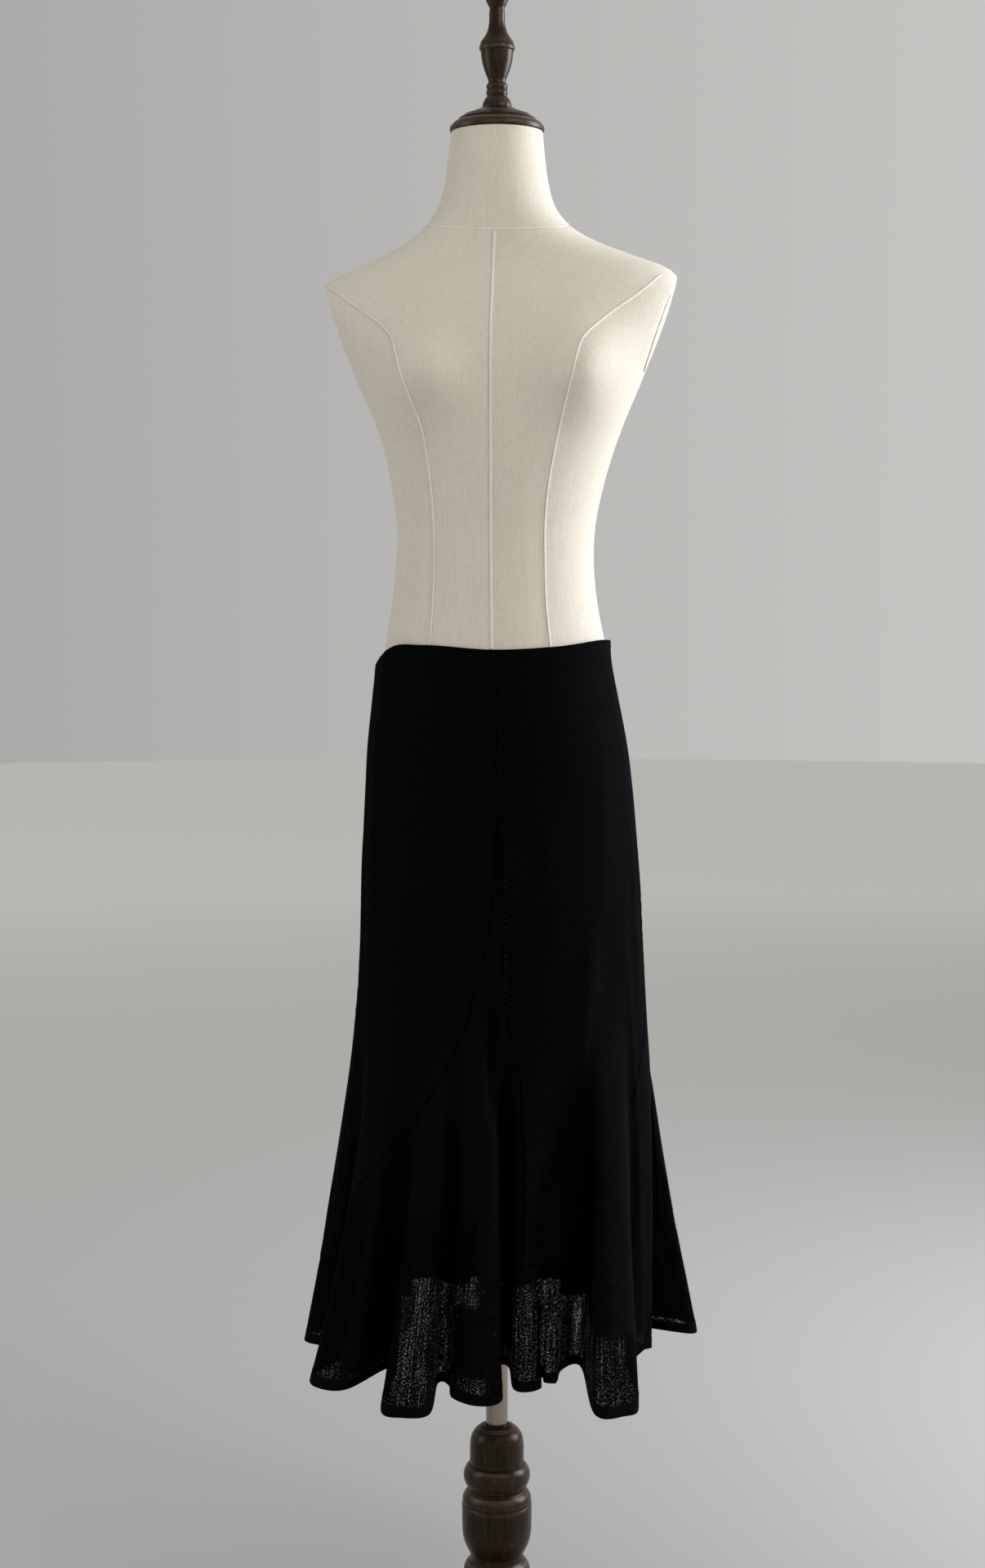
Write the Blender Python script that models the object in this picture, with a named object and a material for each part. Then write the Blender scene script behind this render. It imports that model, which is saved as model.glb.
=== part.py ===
"""Construction of a mermaid skirt on a dress form, at its real size.

Metres, +Z up, the skirt's front towards -Y. The origin is on the floor, at the
middle of the foot's flat underside, and the chrome pole stands on the Z axis.

The skirt is cut in four petal-shaped panels and four flared godets. Each of its
four seams runs straight down from the top edge and parts in two at SPLIT: one
branch goes on almost straight to the petal's tip, and the other sweeps round the
skirt to the hem. A godet fills the wedge between the two branches.

Turns are in degrees round the Z axis: -90 is the front, 0 the side at +X, 90 the
back and 180 the side at -X. Rows of cloth run from lower to higher turns.
"""

import math
from collections import namedtuple

import bmesh
import bpy
import numpy as np
from mathutils import Matrix, Vector

# Heights above the floor
HEM = 0.424
PETAL_TIP = 0.548
SPLIT = 1.030
FOLD_ZONE = 0.740
FORM_BOTTOM = 1.030

# Cloth
CLOTH_WALL = 0.0015
SEAM_GAP = 0.0003
TIP_SHARE = 0.26
SMOOTH_STRIDE = 2
COLUMN_MARGIN = 0.8
NEAR_TURN = 0.2
NEAR_HEIGHT = 0.002
LEAST_RISE = 0.01
FOLD_GROWTH = 1.42
SHOULDER_PLACE = 0.90
SHOULDER_DROP = 0.55
SHOULDER_SHARE = 0.42
FLOOR_SHARE = 0.20

# The hem hangs lower where it stands out further and at the side at +X, and higher
# at the back
HEM_DIP = 0.14
HEM_MIDDLE = 0.195
HEM_BACK_RISE = 0.012
HEM_SIDE_DIP = 0.008
HEM_ZONE = 0.580

# Seams at the top edge
SEAM_TURN = {"front": -90.5, "right": 0.0, "back": 90.0, "left": 180.0}
SEAM_ORDER = ("front", "right", "back", "left")

# The skirt's outline without its folds, from the axis to the cloth's outer face
Girth = namedtuple("Girth", "height left right front back")
GIRTHS = (
    Girth(0.424, 0.190, 0.197, 0.184, 0.182),
    Girth(0.496, 0.184, 0.192, 0.174, 0.173),
    Girth(0.592, 0.177, 0.186, 0.160, 0.160),
    Girth(0.687, 0.169, 0.180, 0.145, 0.147),
    Girth(0.782, 0.1615, 0.1725, 0.132, 0.135),
    Girth(0.876, 0.1560, 0.1670, 0.1225, 0.1265),
    Girth(0.969, 0.1530, 0.1612, 0.1150, 0.1205),
    Girth(1.062, 0.1490, 0.1535, 0.1085, 0.1165),
    Girth(1.108, 0.1466, 0.1477, 0.1064, 0.1145),
    Girth(1.154, 0.1418, 0.1390, 0.1021, 0.1070),
    Girth(1.180, 0.1390, 0.1337, 0.0991, 0.1015),
    Girth(1.205, 0.1360, 0.1292, 0.0965, 0.0955),
    Girth(1.235, 0.1290, 0.1275, 0.0938, 0.0905),
)

# The top edge, which dips at the back and at the side at -X
Edge = namedtuple("Edge", "turn height")
TOP_EDGE = (
    Edge(-172, 1.204),
    Edge(-163, 1.213),
    Edge(-152, 1.2225),
    Edge(-128, 1.2255),
    Edge(-90, 1.221),
    Edge(-60, 1.224),
    Edge(-25, 1.230),
    Edge(0, 1.228),
    Edge(60, 1.214),
    Edge(120, 1.206),
    Edge(175, 1.200),
)

# How far round each branch of a seam has turned from the seam's top
Branch = namedtuple("Branch", "height turn")
SWEEPING = (
    Branch(0.424, 106.0),
    Branch(0.462, 100.5),
    Branch(0.530, 86.0),
    Branch(0.580, 68.0),
    Branch(0.673, 42.0),
    Branch(0.693, 35.5),
    Branch(0.743, 24.0),
    Branch(0.769, 19.0),
    Branch(0.818, 11.5),
    Branch(0.876, 6.5),
    Branch(0.905, 3.6),
    Branch(0.955, 1.5),
    Branch(1.030, 0.0),
)
UPRIGHT = (
    Branch(0.548, 9.5),
    Branch(0.620, 9.8),
    Branch(0.700, 9.5),
    Branch(0.757, 8.5),
    Branch(0.800, 5.5),
    Branch(0.840, 3.2),
    Branch(0.960, 3.0),
    Branch(1.000, 1.8),
    Branch(1.030, 0.0),
)

# Folds of the flared hem. A crest hangs from the turn "crest" of the hip and meets
# the hem at the turn "crest_at", "reach" from the axis. The valley that follows it
# does the same, down to "floor". Both begin at the height "start".
Fold = namedtuple(
    "Fold",
    "name crest crest_at reach half_width valley valley_at floor half_floor start",
)
FOLDS = (
    Fold("side_left", -179, -179, 0.2220, 0.026, -160, -160, 0.172, 0.008, 0.840),
    Fold("front_far_left", -142, -144, 0.2450, 0.036, -127, -134, 0.168, 0.008, 0.740),
    Fold("front_left", -114, -114.6, 0.2520, 0.032, -106.5, -110, 0.172, 0.006, 0.780),
    Fold("front_middle", -98, -96.4, 0.2120, 0.031, -87.5, -87, 0.124, 0.006, 0.840),
    Fold("front_narrow", -79.5, -79, 0.1800, 0.018, -73, -72, 0.150, 0.004, 0.740),
    Fold("front_tuck", -68, -68.5, 0.1640, 0.009, -58, -54, 0.138, 0.013, 0.800),
    Fold("front_right", -45, -56.8, 0.2520, 0.033, -27, -27, 0.168, 0.010, 0.850),
    Fold("side_tuck", -8, -8, 0.1790, 0.015, 5, 11, 0.176, 0.004, 0.780),
    Fold("side_right", 17, 15.5, 0.2430, 0.029, 32, 32, 0.168, 0.009, 0.850),
    Fold("back_far_right", 47, 46, 0.2400, 0.029, 59, 58, 0.160, 0.008, 0.800),
    Fold("back_right", 71, 72, 0.2360, 0.023, 83, 81, 0.166, 0.010, 0.780),
    Fold("back_middle", 94, 93, 0.2300, 0.022, 104, 105, 0.170, 0.007, 0.850),
    Fold("back_left", 115, 116, 0.2460, 0.027, 130, 132, 0.164, 0.009, 0.780),
    Fold("back_far_left", 147, 148, 0.2400, 0.030, 163, 164, 0.168, 0.009, 0.800),
)

# Heights of the cloth's rows below its top edge
LEVELS = (
    1.185, 1.145, 1.105, 1.065, SPLIT,
    0.990, 0.950, 0.905, 0.860, 0.820, 0.785, 0.750, 0.720, 0.692,
    0.666, 0.642, 0.618, 0.595, 0.572, PETAL_TIP,
    0.523, 0.497, 0.472, 0.448, HEM,
)

# The dress form's outline, from the axis, with "middle" its centre's place in X.
# A fullness of 2 is an ellipse, and more is squarer.
Section = namedtuple("Section", "height half_width front back middle fullness")
FORM_SECTIONS = (
    Section(1.030, 0.1425, 0.1015, 0.1080, 0.0010, 2.0),
    Section(1.062, 0.1450, 0.1040, 0.1120, 0.0010, 2.0),
    Section(1.100, 0.1435, 0.1035, 0.1110, 0.0000, 2.0),
    Section(1.140, 0.1365, 0.1000, 0.1050, -0.0005, 2.0),
    Section(1.180, 0.1295, 0.0966, 0.0970, -0.0010, 2.0),
    Section(1.223, 0.1230, 0.0925, 0.0885, -0.0015, 2.0),
    Section(1.260, 0.1165, 0.0900, 0.0830, -0.0025, 2.0),
    Section(1.305, 0.1110, 0.0885, 0.0790, -0.0025, 2.05),
    Section(1.351, 0.1102, 0.0890, 0.0780, -0.0010, 2.1),
    Section(1.396, 0.1172, 0.0930, 0.0800, 0.0005, 2.15),
    Section(1.446, 0.1300, 0.0990, 0.0860, 0.0025, 2.2),
    Section(1.486, 0.1450, 0.1020, 0.0920, 0.0032, 2.2),
    Section(1.525, 0.1640, 0.1000, 0.0970, 0.0034, 2.2),
    Section(1.560, 0.1850, 0.0920, 0.1000, 0.0032, 2.25),
    Section(1.595, 0.1980, 0.0790, 0.0960, 0.0030, 2.3),
    Section(1.618, 0.1985, 0.0670, 0.0870, 0.0030, 2.3),
    Section(1.633, 0.1840, 0.0590, 0.0770, 0.0030, 2.2),
    Section(1.647, 0.1490, 0.0545, 0.0690, 0.0025, 2.1),
    Section(1.665, 0.1085, 0.0525, 0.0640, 0.0020, 2.0),
    Section(1.682, 0.0825, 0.0520, 0.0610, 0.0010, 2.0),
    Section(1.700, 0.0675, 0.0530, 0.0590, 0.0000, 2.0),
    Section(1.727, 0.0580, 0.0535, 0.0560, -0.0005, 2.0),
    Section(1.753, 0.0540, 0.0525, 0.0535, -0.0005, 2.0),
    Section(1.786, 0.0503, 0.0503, 0.0503, 0.0, 2.0),
)
FORM_EXTRA_HEIGHTS = (1.504, 1.542, 1.577, 1.607, 1.640, 1.656, 1.713)
FORM_SIDES = 40
BUST_SPREAD = 0.092
BUST_HEIGHT = 1.518
BUST_RISE = 0.031
BUST_RADIUS = 0.047
SHOULDER_SLOPE = 0.036
SHOULDER_SLOPE_FROM = 1.450
SHOULDER_SLOPE_FULL = 1.600
NECK_LEVEL_FROM = 1.645
NECK_LEVEL_FULL = 1.700

# The neck's seam, lower at the front than at the back
NECK_SEAM_HEIGHT = 1.689
NECK_SEAM_RISE = 0.27
NECK_SEAM_GAP = 0.0003

# The flat armholes, each through a high and a low point and turned to the front
ARMHOLE_HIGH = (0.1935, 1.622)
ARMHOLE_LOW = (0.1620, 1.530)
ARMHOLE_YAW = {"right": 6.5, "left": -2.0}
ARMHOLE_MIDDLE = 0.003
ARMHOLE_FLOOR = 1.440
ARM_PLATE_THICKNESS = 0.0015
ARM_PLATE_INSET = 0.62
ARM_PLATE_RISE = 0.006
SEAT_GAP = 0.0003

# Pole
POLE_RADIUS = 0.01275
POLE_BOTTOM = 0.190
POLE_TOP = 1.110
POLE_CLEARANCE = 0.00035
POLE_SIDES = 24
SOCKET_HEADROOM = 0.0010
COLLAR_RADIUS = 0.032
COLLAR_HEIGHT = 0.014
COLLAR_CHAMFER = 0.004

# Turned wood, from the lowest ring to the highest
Turning = namedtuple("Turning", "height radius")
FOOT = (
    Turning(0.0000, 0.1650),
    Turning(0.0060, 0.1700),
    Turning(0.0170, 0.1700),
    Turning(0.0230, 0.1640),
    Turning(0.0300, 0.1400),
    Turning(0.0370, 0.0850),
    Turning(0.0420, 0.0560),
    Turning(0.0480, 0.0480),
)
COLUMN = (
    Turning(0.0483, 0.0400),
    Turning(0.0580, 0.0400),
    Turning(0.0680, 0.0340),
    Turning(0.1000, 0.0300),
    Turning(0.1280, 0.0315),
    Turning(0.1400, 0.0360),
    Turning(0.1480, 0.0385),
    Turning(0.1560, 0.0375),
    Turning(0.1625, 0.0322),
    Turning(0.1700, 0.0308),
    Turning(0.1785, 0.0350),
    Turning(0.1860, 0.0380),
    Turning(0.1940, 0.0395),
    Turning(0.2080, 0.0403),
    Turning(0.2330, 0.0403),
    Turning(0.2410, 0.0388),
    Turning(0.2480, 0.0332),
    Turning(0.2550, 0.0362),
    Turning(0.2610, 0.0383),
    Turning(0.2680, 0.0383),
    Turning(0.2740, 0.0362),
    Turning(0.2810, 0.0310),
    Turning(0.3040, 0.0308),
    Turning(0.3120, 0.0290),
    Turning(0.3190, 0.0238),
    Turning(0.3240, 0.0175),
)
NECK_CAP = (
    Turning(1.7863, 0.0505),
    Turning(1.7890, 0.0522),
    Turning(1.7925, 0.0522),
    Turning(1.7960, 0.0485),
    Turning(1.7985, 0.0440),
    Turning(1.8020, 0.0420),
    Turning(1.8050, 0.0365),
    Turning(1.8085, 0.0265),
    Turning(1.8120, 0.0190),
)
FINIAL = (
    Turning(1.8123, 0.0163),
    Turning(1.8180, 0.0157),
    Turning(1.8225, 0.0138),
    Turning(1.8265, 0.0110),
    Turning(1.8310, 0.0120),
    Turning(1.8355, 0.0118),
    Turning(1.8400, 0.0098),
    Turning(1.8445, 0.0103),
    Turning(1.8530, 0.0139),
    Turning(1.8620, 0.0166),
    Turning(1.8740, 0.0180),
    Turning(1.8775, 0.0197),
    Turning(1.8820, 0.0195),
    Turning(1.8860, 0.0162),
    Turning(1.8935, 0.0112),
    Turning(1.9025, 0.0090),
    Turning(1.9155, 0.0088),
    Turning(1.9200, 0.0082),
    Turning(1.9245, 0.0108),
    Turning(1.9300, 0.0128),
    Turning(1.9370, 0.0136),
    Turning(1.9440, 0.0122),
    Turning(1.9490, 0.0082),
    Turning(1.9515, 0.0035),
)
FOOT_SIDES = 32
COLUMN_SIDES = POLE_SIDES
CAP_SIDES = 24
FINIAL_SIDES = 16
SHARP_ANGLE = 40
CUT_TOLERANCE = 1e-6

# Colours as the photo shows them, in linear light
Look = namedtuple("Look", "colour roughness metallic")
LOOKS = {
    "black_crepe": Look((0.010, 0.010, 0.012), 0.85, 0.0),
    "cream_linen": Look((0.680, 0.640, 0.540), 0.80, 0.0),
    "dark_wood": Look((0.040, 0.026, 0.018), 0.40, 0.0),
    "chrome": Look((0.800, 0.800, 0.810), 0.15, 1.0),
}


def clear_scene():
    for thing in list(bpy.data.objects):
        bpy.data.objects.remove(thing, do_unlink=True)


def make_materials():
    materials = {}
    for name, look in LOOKS.items():
        material = bpy.data.materials.new(name)
        material.use_nodes = True
        shader = material.node_tree.nodes["Principled BSDF"]
        shader.inputs["Base Color"].default_value = (*look.colour, 1.0)
        shader.inputs["Roughness"].default_value = look.roughness
        shader.inputs["Metallic"].default_value = look.metallic
        materials[name] = material
    return materials


class Curve:
    """A smooth curve through knots. A closed one repeats every full turn."""

    def __init__(self, places, values, closed=False):
        places = np.array(places, float)
        values = np.array(values, float)
        if closed:
            places = np.concatenate([places[-2:] - 360, places, places[:2] + 360])
            values = np.concatenate([values[-2:], values, values[:2]])
        self.places = places
        self.values = values
        self.slopes = np.gradient(values, places)
        self.closed = closed

    def at(self, place):
        if self.closed:
            start = self.places[1]
            place = start + (place - start) % 360
        place = min(max(place, self.places[0]), self.places[-1])
        k = int(np.searchsorted(self.places, place, "right")) - 1
        k = min(max(k, 0), len(self.places) - 2)
        width = self.places[k + 1] - self.places[k]
        t = (place - self.places[k]) / width
        from_value = (1 + 2 * t) * (1 - t) ** 2 * self.values[k]
        to_value = t * t * (3 - 2 * t) * self.values[k + 1]
        from_slope = t * (1 - t) ** 2 * width * self.slopes[k]
        to_slope = t * t * (t - 1) * width * self.slopes[k + 1]
        return float(from_value + to_value + from_slope + to_slope)


def table_curve(rows, place, value):
    """The curve of one column of a table against another."""
    return Curve(
        [getattr(row, place) for row in rows], [getattr(row, value) for row in rows]
    )


def eased(value, start, end):
    t = min(max((value - start) / (end - start), 0.0), 1.0)
    return t * t * (3 - 2 * t)


def polar(turn, radius):
    angle = math.radians(turn)
    return Vector((radius * math.cos(angle), radius * math.sin(angle)))


girth_curves = {
    side: table_curve(GIRTHS, "height", side)
    for side in ("left", "right", "front", "back")
}
top_edge = Curve(
    [row.turn for row in TOP_EDGE], [row.height for row in TOP_EDGE], closed=True
)
sweeping = table_curve(SWEEPING, "height", "turn")
upright = table_curve(UPRIGHT, "height", "turn")


def bare_outline(turn, height):
    """The skirt's place in plan, if it had no folds."""
    angle = math.radians(turn)
    side = "right" if math.cos(angle) > 0 else "left"
    face = "back" if math.sin(angle) > 0 else "front"
    across = girth_curves[side].at(height) * math.cos(angle)
    along = girth_curves[face].at(height) * math.sin(angle)
    return Vector((across, along))


Knot = namedtuple("Knot", "turn place rounds")


def hem_knots():
    """The hem's curve in plan: three knots over each fold's crest and two along the
    floor of its valley. Between the others the cloth runs straight."""
    knots = []
    for k, fold in enumerate(FOLDS):
        before = FOLDS[k - 1].valley - (360 if k == 0 else 0)
        after = FOLDS[(k + 1) % len(FOLDS)].crest + (360 if k == len(FOLDS) - 1 else 0)
        rise, fall = fold.crest - before, fold.valley - fold.crest
        top, outward = polar(fold.crest_at, fold.reach), polar(fold.crest_at, 1.0)
        sideways = fold.half_width * SHOULDER_PLACE * polar(fold.crest_at + 90, 1.0)
        inward = outward * fold.half_width * SHOULDER_DROP
        floor = polar(fold.valley_at, fold.floor)
        along_floor = polar(fold.valley_at + 90, fold.half_floor)
        knots += [
            Knot(fold.crest - SHOULDER_SHARE * rise, top - sideways - inward, True),
            Knot(fold.crest, top, True),
            Knot(fold.crest + SHOULDER_SHARE * fall, top + sideways - inward, False),
            Knot(fold.valley - FLOOR_SHARE * fall, floor - along_floor, True),
            Knot(fold.valley + FLOOR_SHARE * (after - fold.valley), floor + along_floor, False),
        ]
    return knots


HEM_KNOTS = hem_knots()
hem_x = Curve([k.turn for k in HEM_KNOTS], [k.place.x for k in HEM_KNOTS], closed=True)
hem_y = Curve([k.turn for k in HEM_KNOTS], [k.place.y for k in HEM_KNOTS], closed=True)
fold_start = Curve(
    [turn for fold in FOLDS for turn in (fold.crest, fold.valley)],
    [fold.start for fold in FOLDS for _ in range(2)],
    closed=True,
)


def skirt_point(turn, height):
    """A point of the cloth's outer face."""
    place = bare_outline(turn, height)
    start = fold_start.at(turn)
    if height < start:
        share = ((start - height) / (start - HEM)) ** FOLD_GROWTH
        at_hem = Vector((hem_x.at(turn), hem_y.at(turn)))
        place += share * (at_hem - bare_outline(turn, HEM))
    return Vector((place.x, place.y, height))


def skirt_normal(turn, height):
    """The direction out of the cloth's outer face."""
    across = skirt_point(turn + NEAR_TURN, height) - skirt_point(turn - NEAR_TURN, height)
    upward = skirt_point(turn, height + NEAR_HEIGHT) - skirt_point(turn, height - NEAR_HEIGHT)
    return across.cross(upward).normalized()


def column_turns():
    """Turns of the cloth's columns: the hem's knots, and the middles where it rounds."""
    turns = []
    for knot, following in zip(HEM_KNOTS, HEM_KNOTS[1:]):
        turns.append(knot.turn)
        if knot.rounds:
            turns.append((knot.turn + following.turn) / 2)
    turns.append(HEM_KNOTS[-1].turn)
    return [turn + whole for whole in (-360, 0, 360) for turn in turns]


COLUMN_TURNS = column_turns()
Corner = namedtuple("Corner", "turn height")


def level_height(level, turn):
    """A level's height. Level 0 is the top edge, and the last is the uneven hem."""
    if level == 0:
        return top_edge.at(turn)
    height = LEVELS[level - 1]
    if height >= HEM_ZONE:
        return height
    reach = math.hypot(hem_x.at(turn), hem_y.at(turn))
    at_back = (1 + math.sin(math.radians(turn))) / 2
    at_side = max(math.cos(math.radians(turn)), 0.0)
    shift = HEM_BACK_RISE * at_back - HEM_SIDE_DIP * at_side
    shift -= HEM_DIP * (reach - HEM_MIDDLE)
    return height + shift * (HEM_ZONE - height) / (HEM_ZONE - HEM)


def seam_turn(seam, branch, height):
    """Where a seam's branch is at this height."""
    start = SEAM_TURN[SEAM_ORDER[seam % 4]] + 360 * (seam // 4)
    if height >= SPLIT:
        return start
    if branch == "sweeping":
        return start - sweeping.at(height)
    return start + upright.at(height)


def half_gap(seam, branch, level):
    """Half the seam's gap as a turn, wider where the seam slants."""
    height = LEVELS[max(level, 1) - 1]
    higher = LEVELS[max(level - 2, 0)]
    lower = LEVELS[min(level, len(LEVELS) - 1)]
    turn = seam_turn(seam, branch, height)
    step = skirt_point(turn + NEAR_TURN, height) - skirt_point(turn - NEAR_TURN, height)
    per_degree = step.length / (2 * NEAR_TURN)
    turned = seam_turn(seam, branch, higher) - seam_turn(seam, branch, lower)
    slant = turned * per_degree / max(higher - lower, LEAST_RISE)
    return 0.5 * SEAM_GAP * math.hypot(1, slant) / per_degree


def row_between(level, left, right):
    """Corners along one level: its two ends and the shared columns between them."""
    stride = SMOOTH_STRIDE if level_height(level, left) > FOLD_ZONE else 1
    inside = [
        turn
        for turn in COLUMN_TURNS[::stride]
        if left + COLUMN_MARGIN < turn < right - COLUMN_MARGIN
    ]
    return [Corner(turn, level_height(level, turn)) for turn in [left, *inside, right]]


def cloth_faces(corner):
    """The points of the cloth's outer and inner face."""
    outer = skirt_point(*corner)
    return outer, outer - CLOTH_WALL * skirt_normal(*corner)


def cloth_solid(name, rows, material, tip, tip_first):
    """A wall of cloth through rows of corners, from the highest row to the lowest,
    that runs to a point at its tip, above the first row or below the last. The point
    stops short of the tip, so that it stays clear of its neighbours there."""
    mesh = bmesh.new()
    grid = []
    for row in rows:
        pairs = [cloth_faces(corner) for corner in row]
        grid.append(
            [
                (corner.turn, mesh.verts.new(outer), mesh.verts.new(inner))
                for corner, (outer, inner) in zip(row, pairs)
            ]
        )
    widest = grid[0] if tip_first else grid[-1]
    point = []
    for side, place in enumerate(cloth_faces(tip), start=1):
        middle = (widest[0][side].co + widest[-1][side].co) / 2
        point.append(mesh.verts.new(place.lerp(middle, TIP_SHARE)))
    grid.insert(0 if tip_first else len(grid), [(tip.turn, *point)])
    for upper, lower in zip(grid, grid[1:]):
        i = j = 0
        while i < len(upper) - 1 or j < len(lower) - 1:
            above, below = upper[i], lower[j]
            last_lower = j == len(lower) - 1
            last_upper = i == len(upper) - 1
            if last_lower or (not last_upper and upper[i + 1][0] <= lower[j + 1][0]):
                i += 1
                further = upper[i]
            else:
                j += 1
                further = lower[j]
            mesh.faces.new((above[1], below[1], further[1]))
            mesh.faces.new((further[2], below[2], above[2]))
    for side in (0, -1):
        for upper, lower in zip(grid, grid[1:]):
            (_, outer, inner), (_, next_outer, next_inner) = upper[side], lower[side]
            mesh.faces.new((outer, inner, next_outer))
            mesh.faces.new((inner, next_inner, next_outer))
    for row in (grid[0], grid[-1]):
        for first, second in zip(row, row[1:]):
            mesh.faces.new((first[1], first[2], second[2], second[1]))
    return finished(name, mesh, material)


def finished(name, mesh, material):
    """The object of a closed mesh, with its faces turned outwards."""
    bmesh.ops.recalc_face_normals(mesh, faces=mesh.faces)
    bmesh.ops.triangulate(mesh, faces=mesh.faces)
    data = bpy.data.meshes.new(name)
    mesh.to_mesh(data)
    mesh.free()
    data.materials.append(material)
    data.shade_smooth()
    data.set_sharp_from_angle(angle=math.radians(SHARP_ANGLE))
    thing = bpy.data.objects.new(name, data)
    bpy.context.scene.collection.objects.link(thing)
    return thing


def panel(name, seam, material):
    """A petal from a seam's upright branch to the next seam's sweeping branch."""
    tip_level = LEVELS.index(PETAL_TIP) + 1
    rows = []
    for level in range(tip_level):
        height = LEVELS[max(level, 1) - 1]
        left = seam_turn(seam, "upright", height) + half_gap(seam, "upright", level)
        right = seam_turn(seam + 1, "sweeping", height)
        right -= half_gap(seam + 1, "sweeping", level)
        rows.append(row_between(level, left, right))
    tip_turn = seam_turn(seam + 1, "sweeping", PETAL_TIP)
    tip = Corner(tip_turn, level_height(tip_level, tip_turn))
    return cloth_solid(name, rows, material, tip, tip_first=False)


def godet(name, seam, material):
    """The wedge from a seam's sweeping branch to its upright one, and below the
    petal's tip to the next seam's sweeping branch."""
    split_level = LEVELS.index(SPLIT) + 1
    top_turn = seam_turn(seam, "upright", SPLIT)
    rows = []
    for level in range(split_level + 1, len(LEVELS) + 1):
        height = LEVELS[level - 1]
        left = seam_turn(seam, "sweeping", height)
        left += half_gap(seam, "sweeping", level)
        ends = (seam, "upright") if height > PETAL_TIP else (seam + 1, "sweeping")
        right = seam_turn(*ends, height) - half_gap(*ends, level)
        rows.append(row_between(level, left, right))
    return cloth_solid(name, rows, material, Corner(top_turn, SPLIT), tip_first=True)


def form_ring(section_at, height):
    """Points round the dress form at one height."""
    half_width, front, back, middle, fullness = section_at(height)
    points = []
    for k in range(FORM_SIDES):
        angle = 2 * math.pi * k / FORM_SIDES
        cosine, sine = math.cos(angle), math.sin(angle)
        across = math.copysign(abs(cosine) ** (2 / fullness), cosine)
        along = math.copysign(abs(sine) ** (2 / fullness), sine)
        x = middle + half_width * across
        y = (back if sine > 0 else front) * along
        if y < 0:
            for bust_x in (middle - BUST_SPREAD, middle + BUST_SPREAD):
                distance = math.hypot(x - bust_x, height - BUST_HEIGHT) / BUST_RADIUS
                y -= BUST_RISE * math.exp(-distance * distance)
        tilt = eased(height, SHOULDER_SLOPE_FROM, SHOULDER_SLOPE_FULL)
        tilt -= eased(height, NECK_LEVEL_FROM, NECK_LEVEL_FULL)
        points.append(Vector((x, y, height + SHOULDER_SLOPE * tilt * x)))
    return points


def form_heights():
    """Heights of the form's rings, closer where its outline turns fast."""
    heights = [section.height for section in FORM_SECTIONS]
    return sorted([*heights, *FORM_EXTRA_HEIGHTS])


def ring_verts(mesh, points):
    return [mesh.verts.new(point) for point in points]


def bridge(mesh, lower, upper):
    """Faces between two rings of as many corners."""
    count = len(lower)
    for k in range(count):
        n = (k + 1) % count
        mesh.faces.new((lower[k], lower[n], upper[n], upper[k]))


def form_loft(with_socket):
    """The dress form's torso and neck in one, with or without the pole's socket."""
    names = ("half_width", "front", "back", "middle", "fullness")
    curves = [table_curve(FORM_SECTIONS, "height", name) for name in names]

    def section_at(height):
        return [curve.at(height) for curve in curves]

    mesh = bmesh.new()
    rings = [ring_verts(mesh, form_ring(section_at, height)) for height in form_heights()]
    for lower, upper in zip(rings, rings[1:]):
        bridge(mesh, lower, upper)
    mesh.faces.new(rings[-1])
    if not with_socket:
        mesh.faces.new(rings[0])
        return mesh
    socket_top = POLE_TOP + SOCKET_HEADROOM
    radius = POLE_RADIUS + POLE_CLEARANCE
    mouth = ring_verts(mesh, circle(radius, FORM_BOTTOM, FORM_SIDES))
    end = ring_verts(mesh, circle(radius, socket_top, FORM_SIDES))
    bridge(mesh, rings[0], mouth)
    bridge(mesh, mouth, end)
    mesh.faces.new(end)
    return mesh


def circle(radius, height, sides):
    points = []
    for k in range(sides):
        angle = 2 * math.pi * k / sides
        points.append(Vector((radius * math.cos(angle), radius * math.sin(angle), height)))
    return points


def cut_away(mesh, point, normal, above=-1.0):
    """Removes what lies beyond a plane, higher than a height, and closes the cut with
    one flat face."""
    bmesh.ops.recalc_face_normals(mesh, faces=mesh.faces)
    faces = [face for face in mesh.faces if min(v.co.z for v in face.verts) > above]
    edges = {edge for face in faces for edge in face.edges}
    parts = [*{corner for edge in edges for corner in edge.verts}, *edges, *faces]
    bmesh.ops.bisect_plane(
        mesh, geom=parts, dist=CUT_TOLERANCE, plane_co=point, plane_no=normal, clear_outer=True
    )
    rim = [edge for edge in mesh.edges if edge.is_boundary]
    made = bmesh.ops.edgeloop_fill(mesh, edges=rim)
    return made["faces"][0]


def neck_seam_plane(offset):
    point = Vector((0, 0, NECK_SEAM_HEIGHT + offset))
    return point, Vector((0, -NECK_SEAM_RISE, 1)).normalized()


def armhole_plane(side):
    """A point on an armhole's flat and the flat's outward direction."""
    sign = 1 if side == "right" else -1
    high, low = ARMHOLE_HIGH, ARMHOLE_LOW
    along = Vector((high[0] - low[0], 0, high[1] - low[1])).normalized()
    outward = Vector((along.z, 0, -along.x))
    yaw = Matrix.Rotation(math.radians(-ARMHOLE_YAW[side]), 3, "Z")
    outward = yaw @ outward
    across = (high[0] + low[0]) / 2 * sign + ARMHOLE_MIDDLE
    point = Vector((across, 0, (high[1] + low[1]) / 2))
    return point, Vector((outward.x * sign, outward.y, outward.z))


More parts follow.
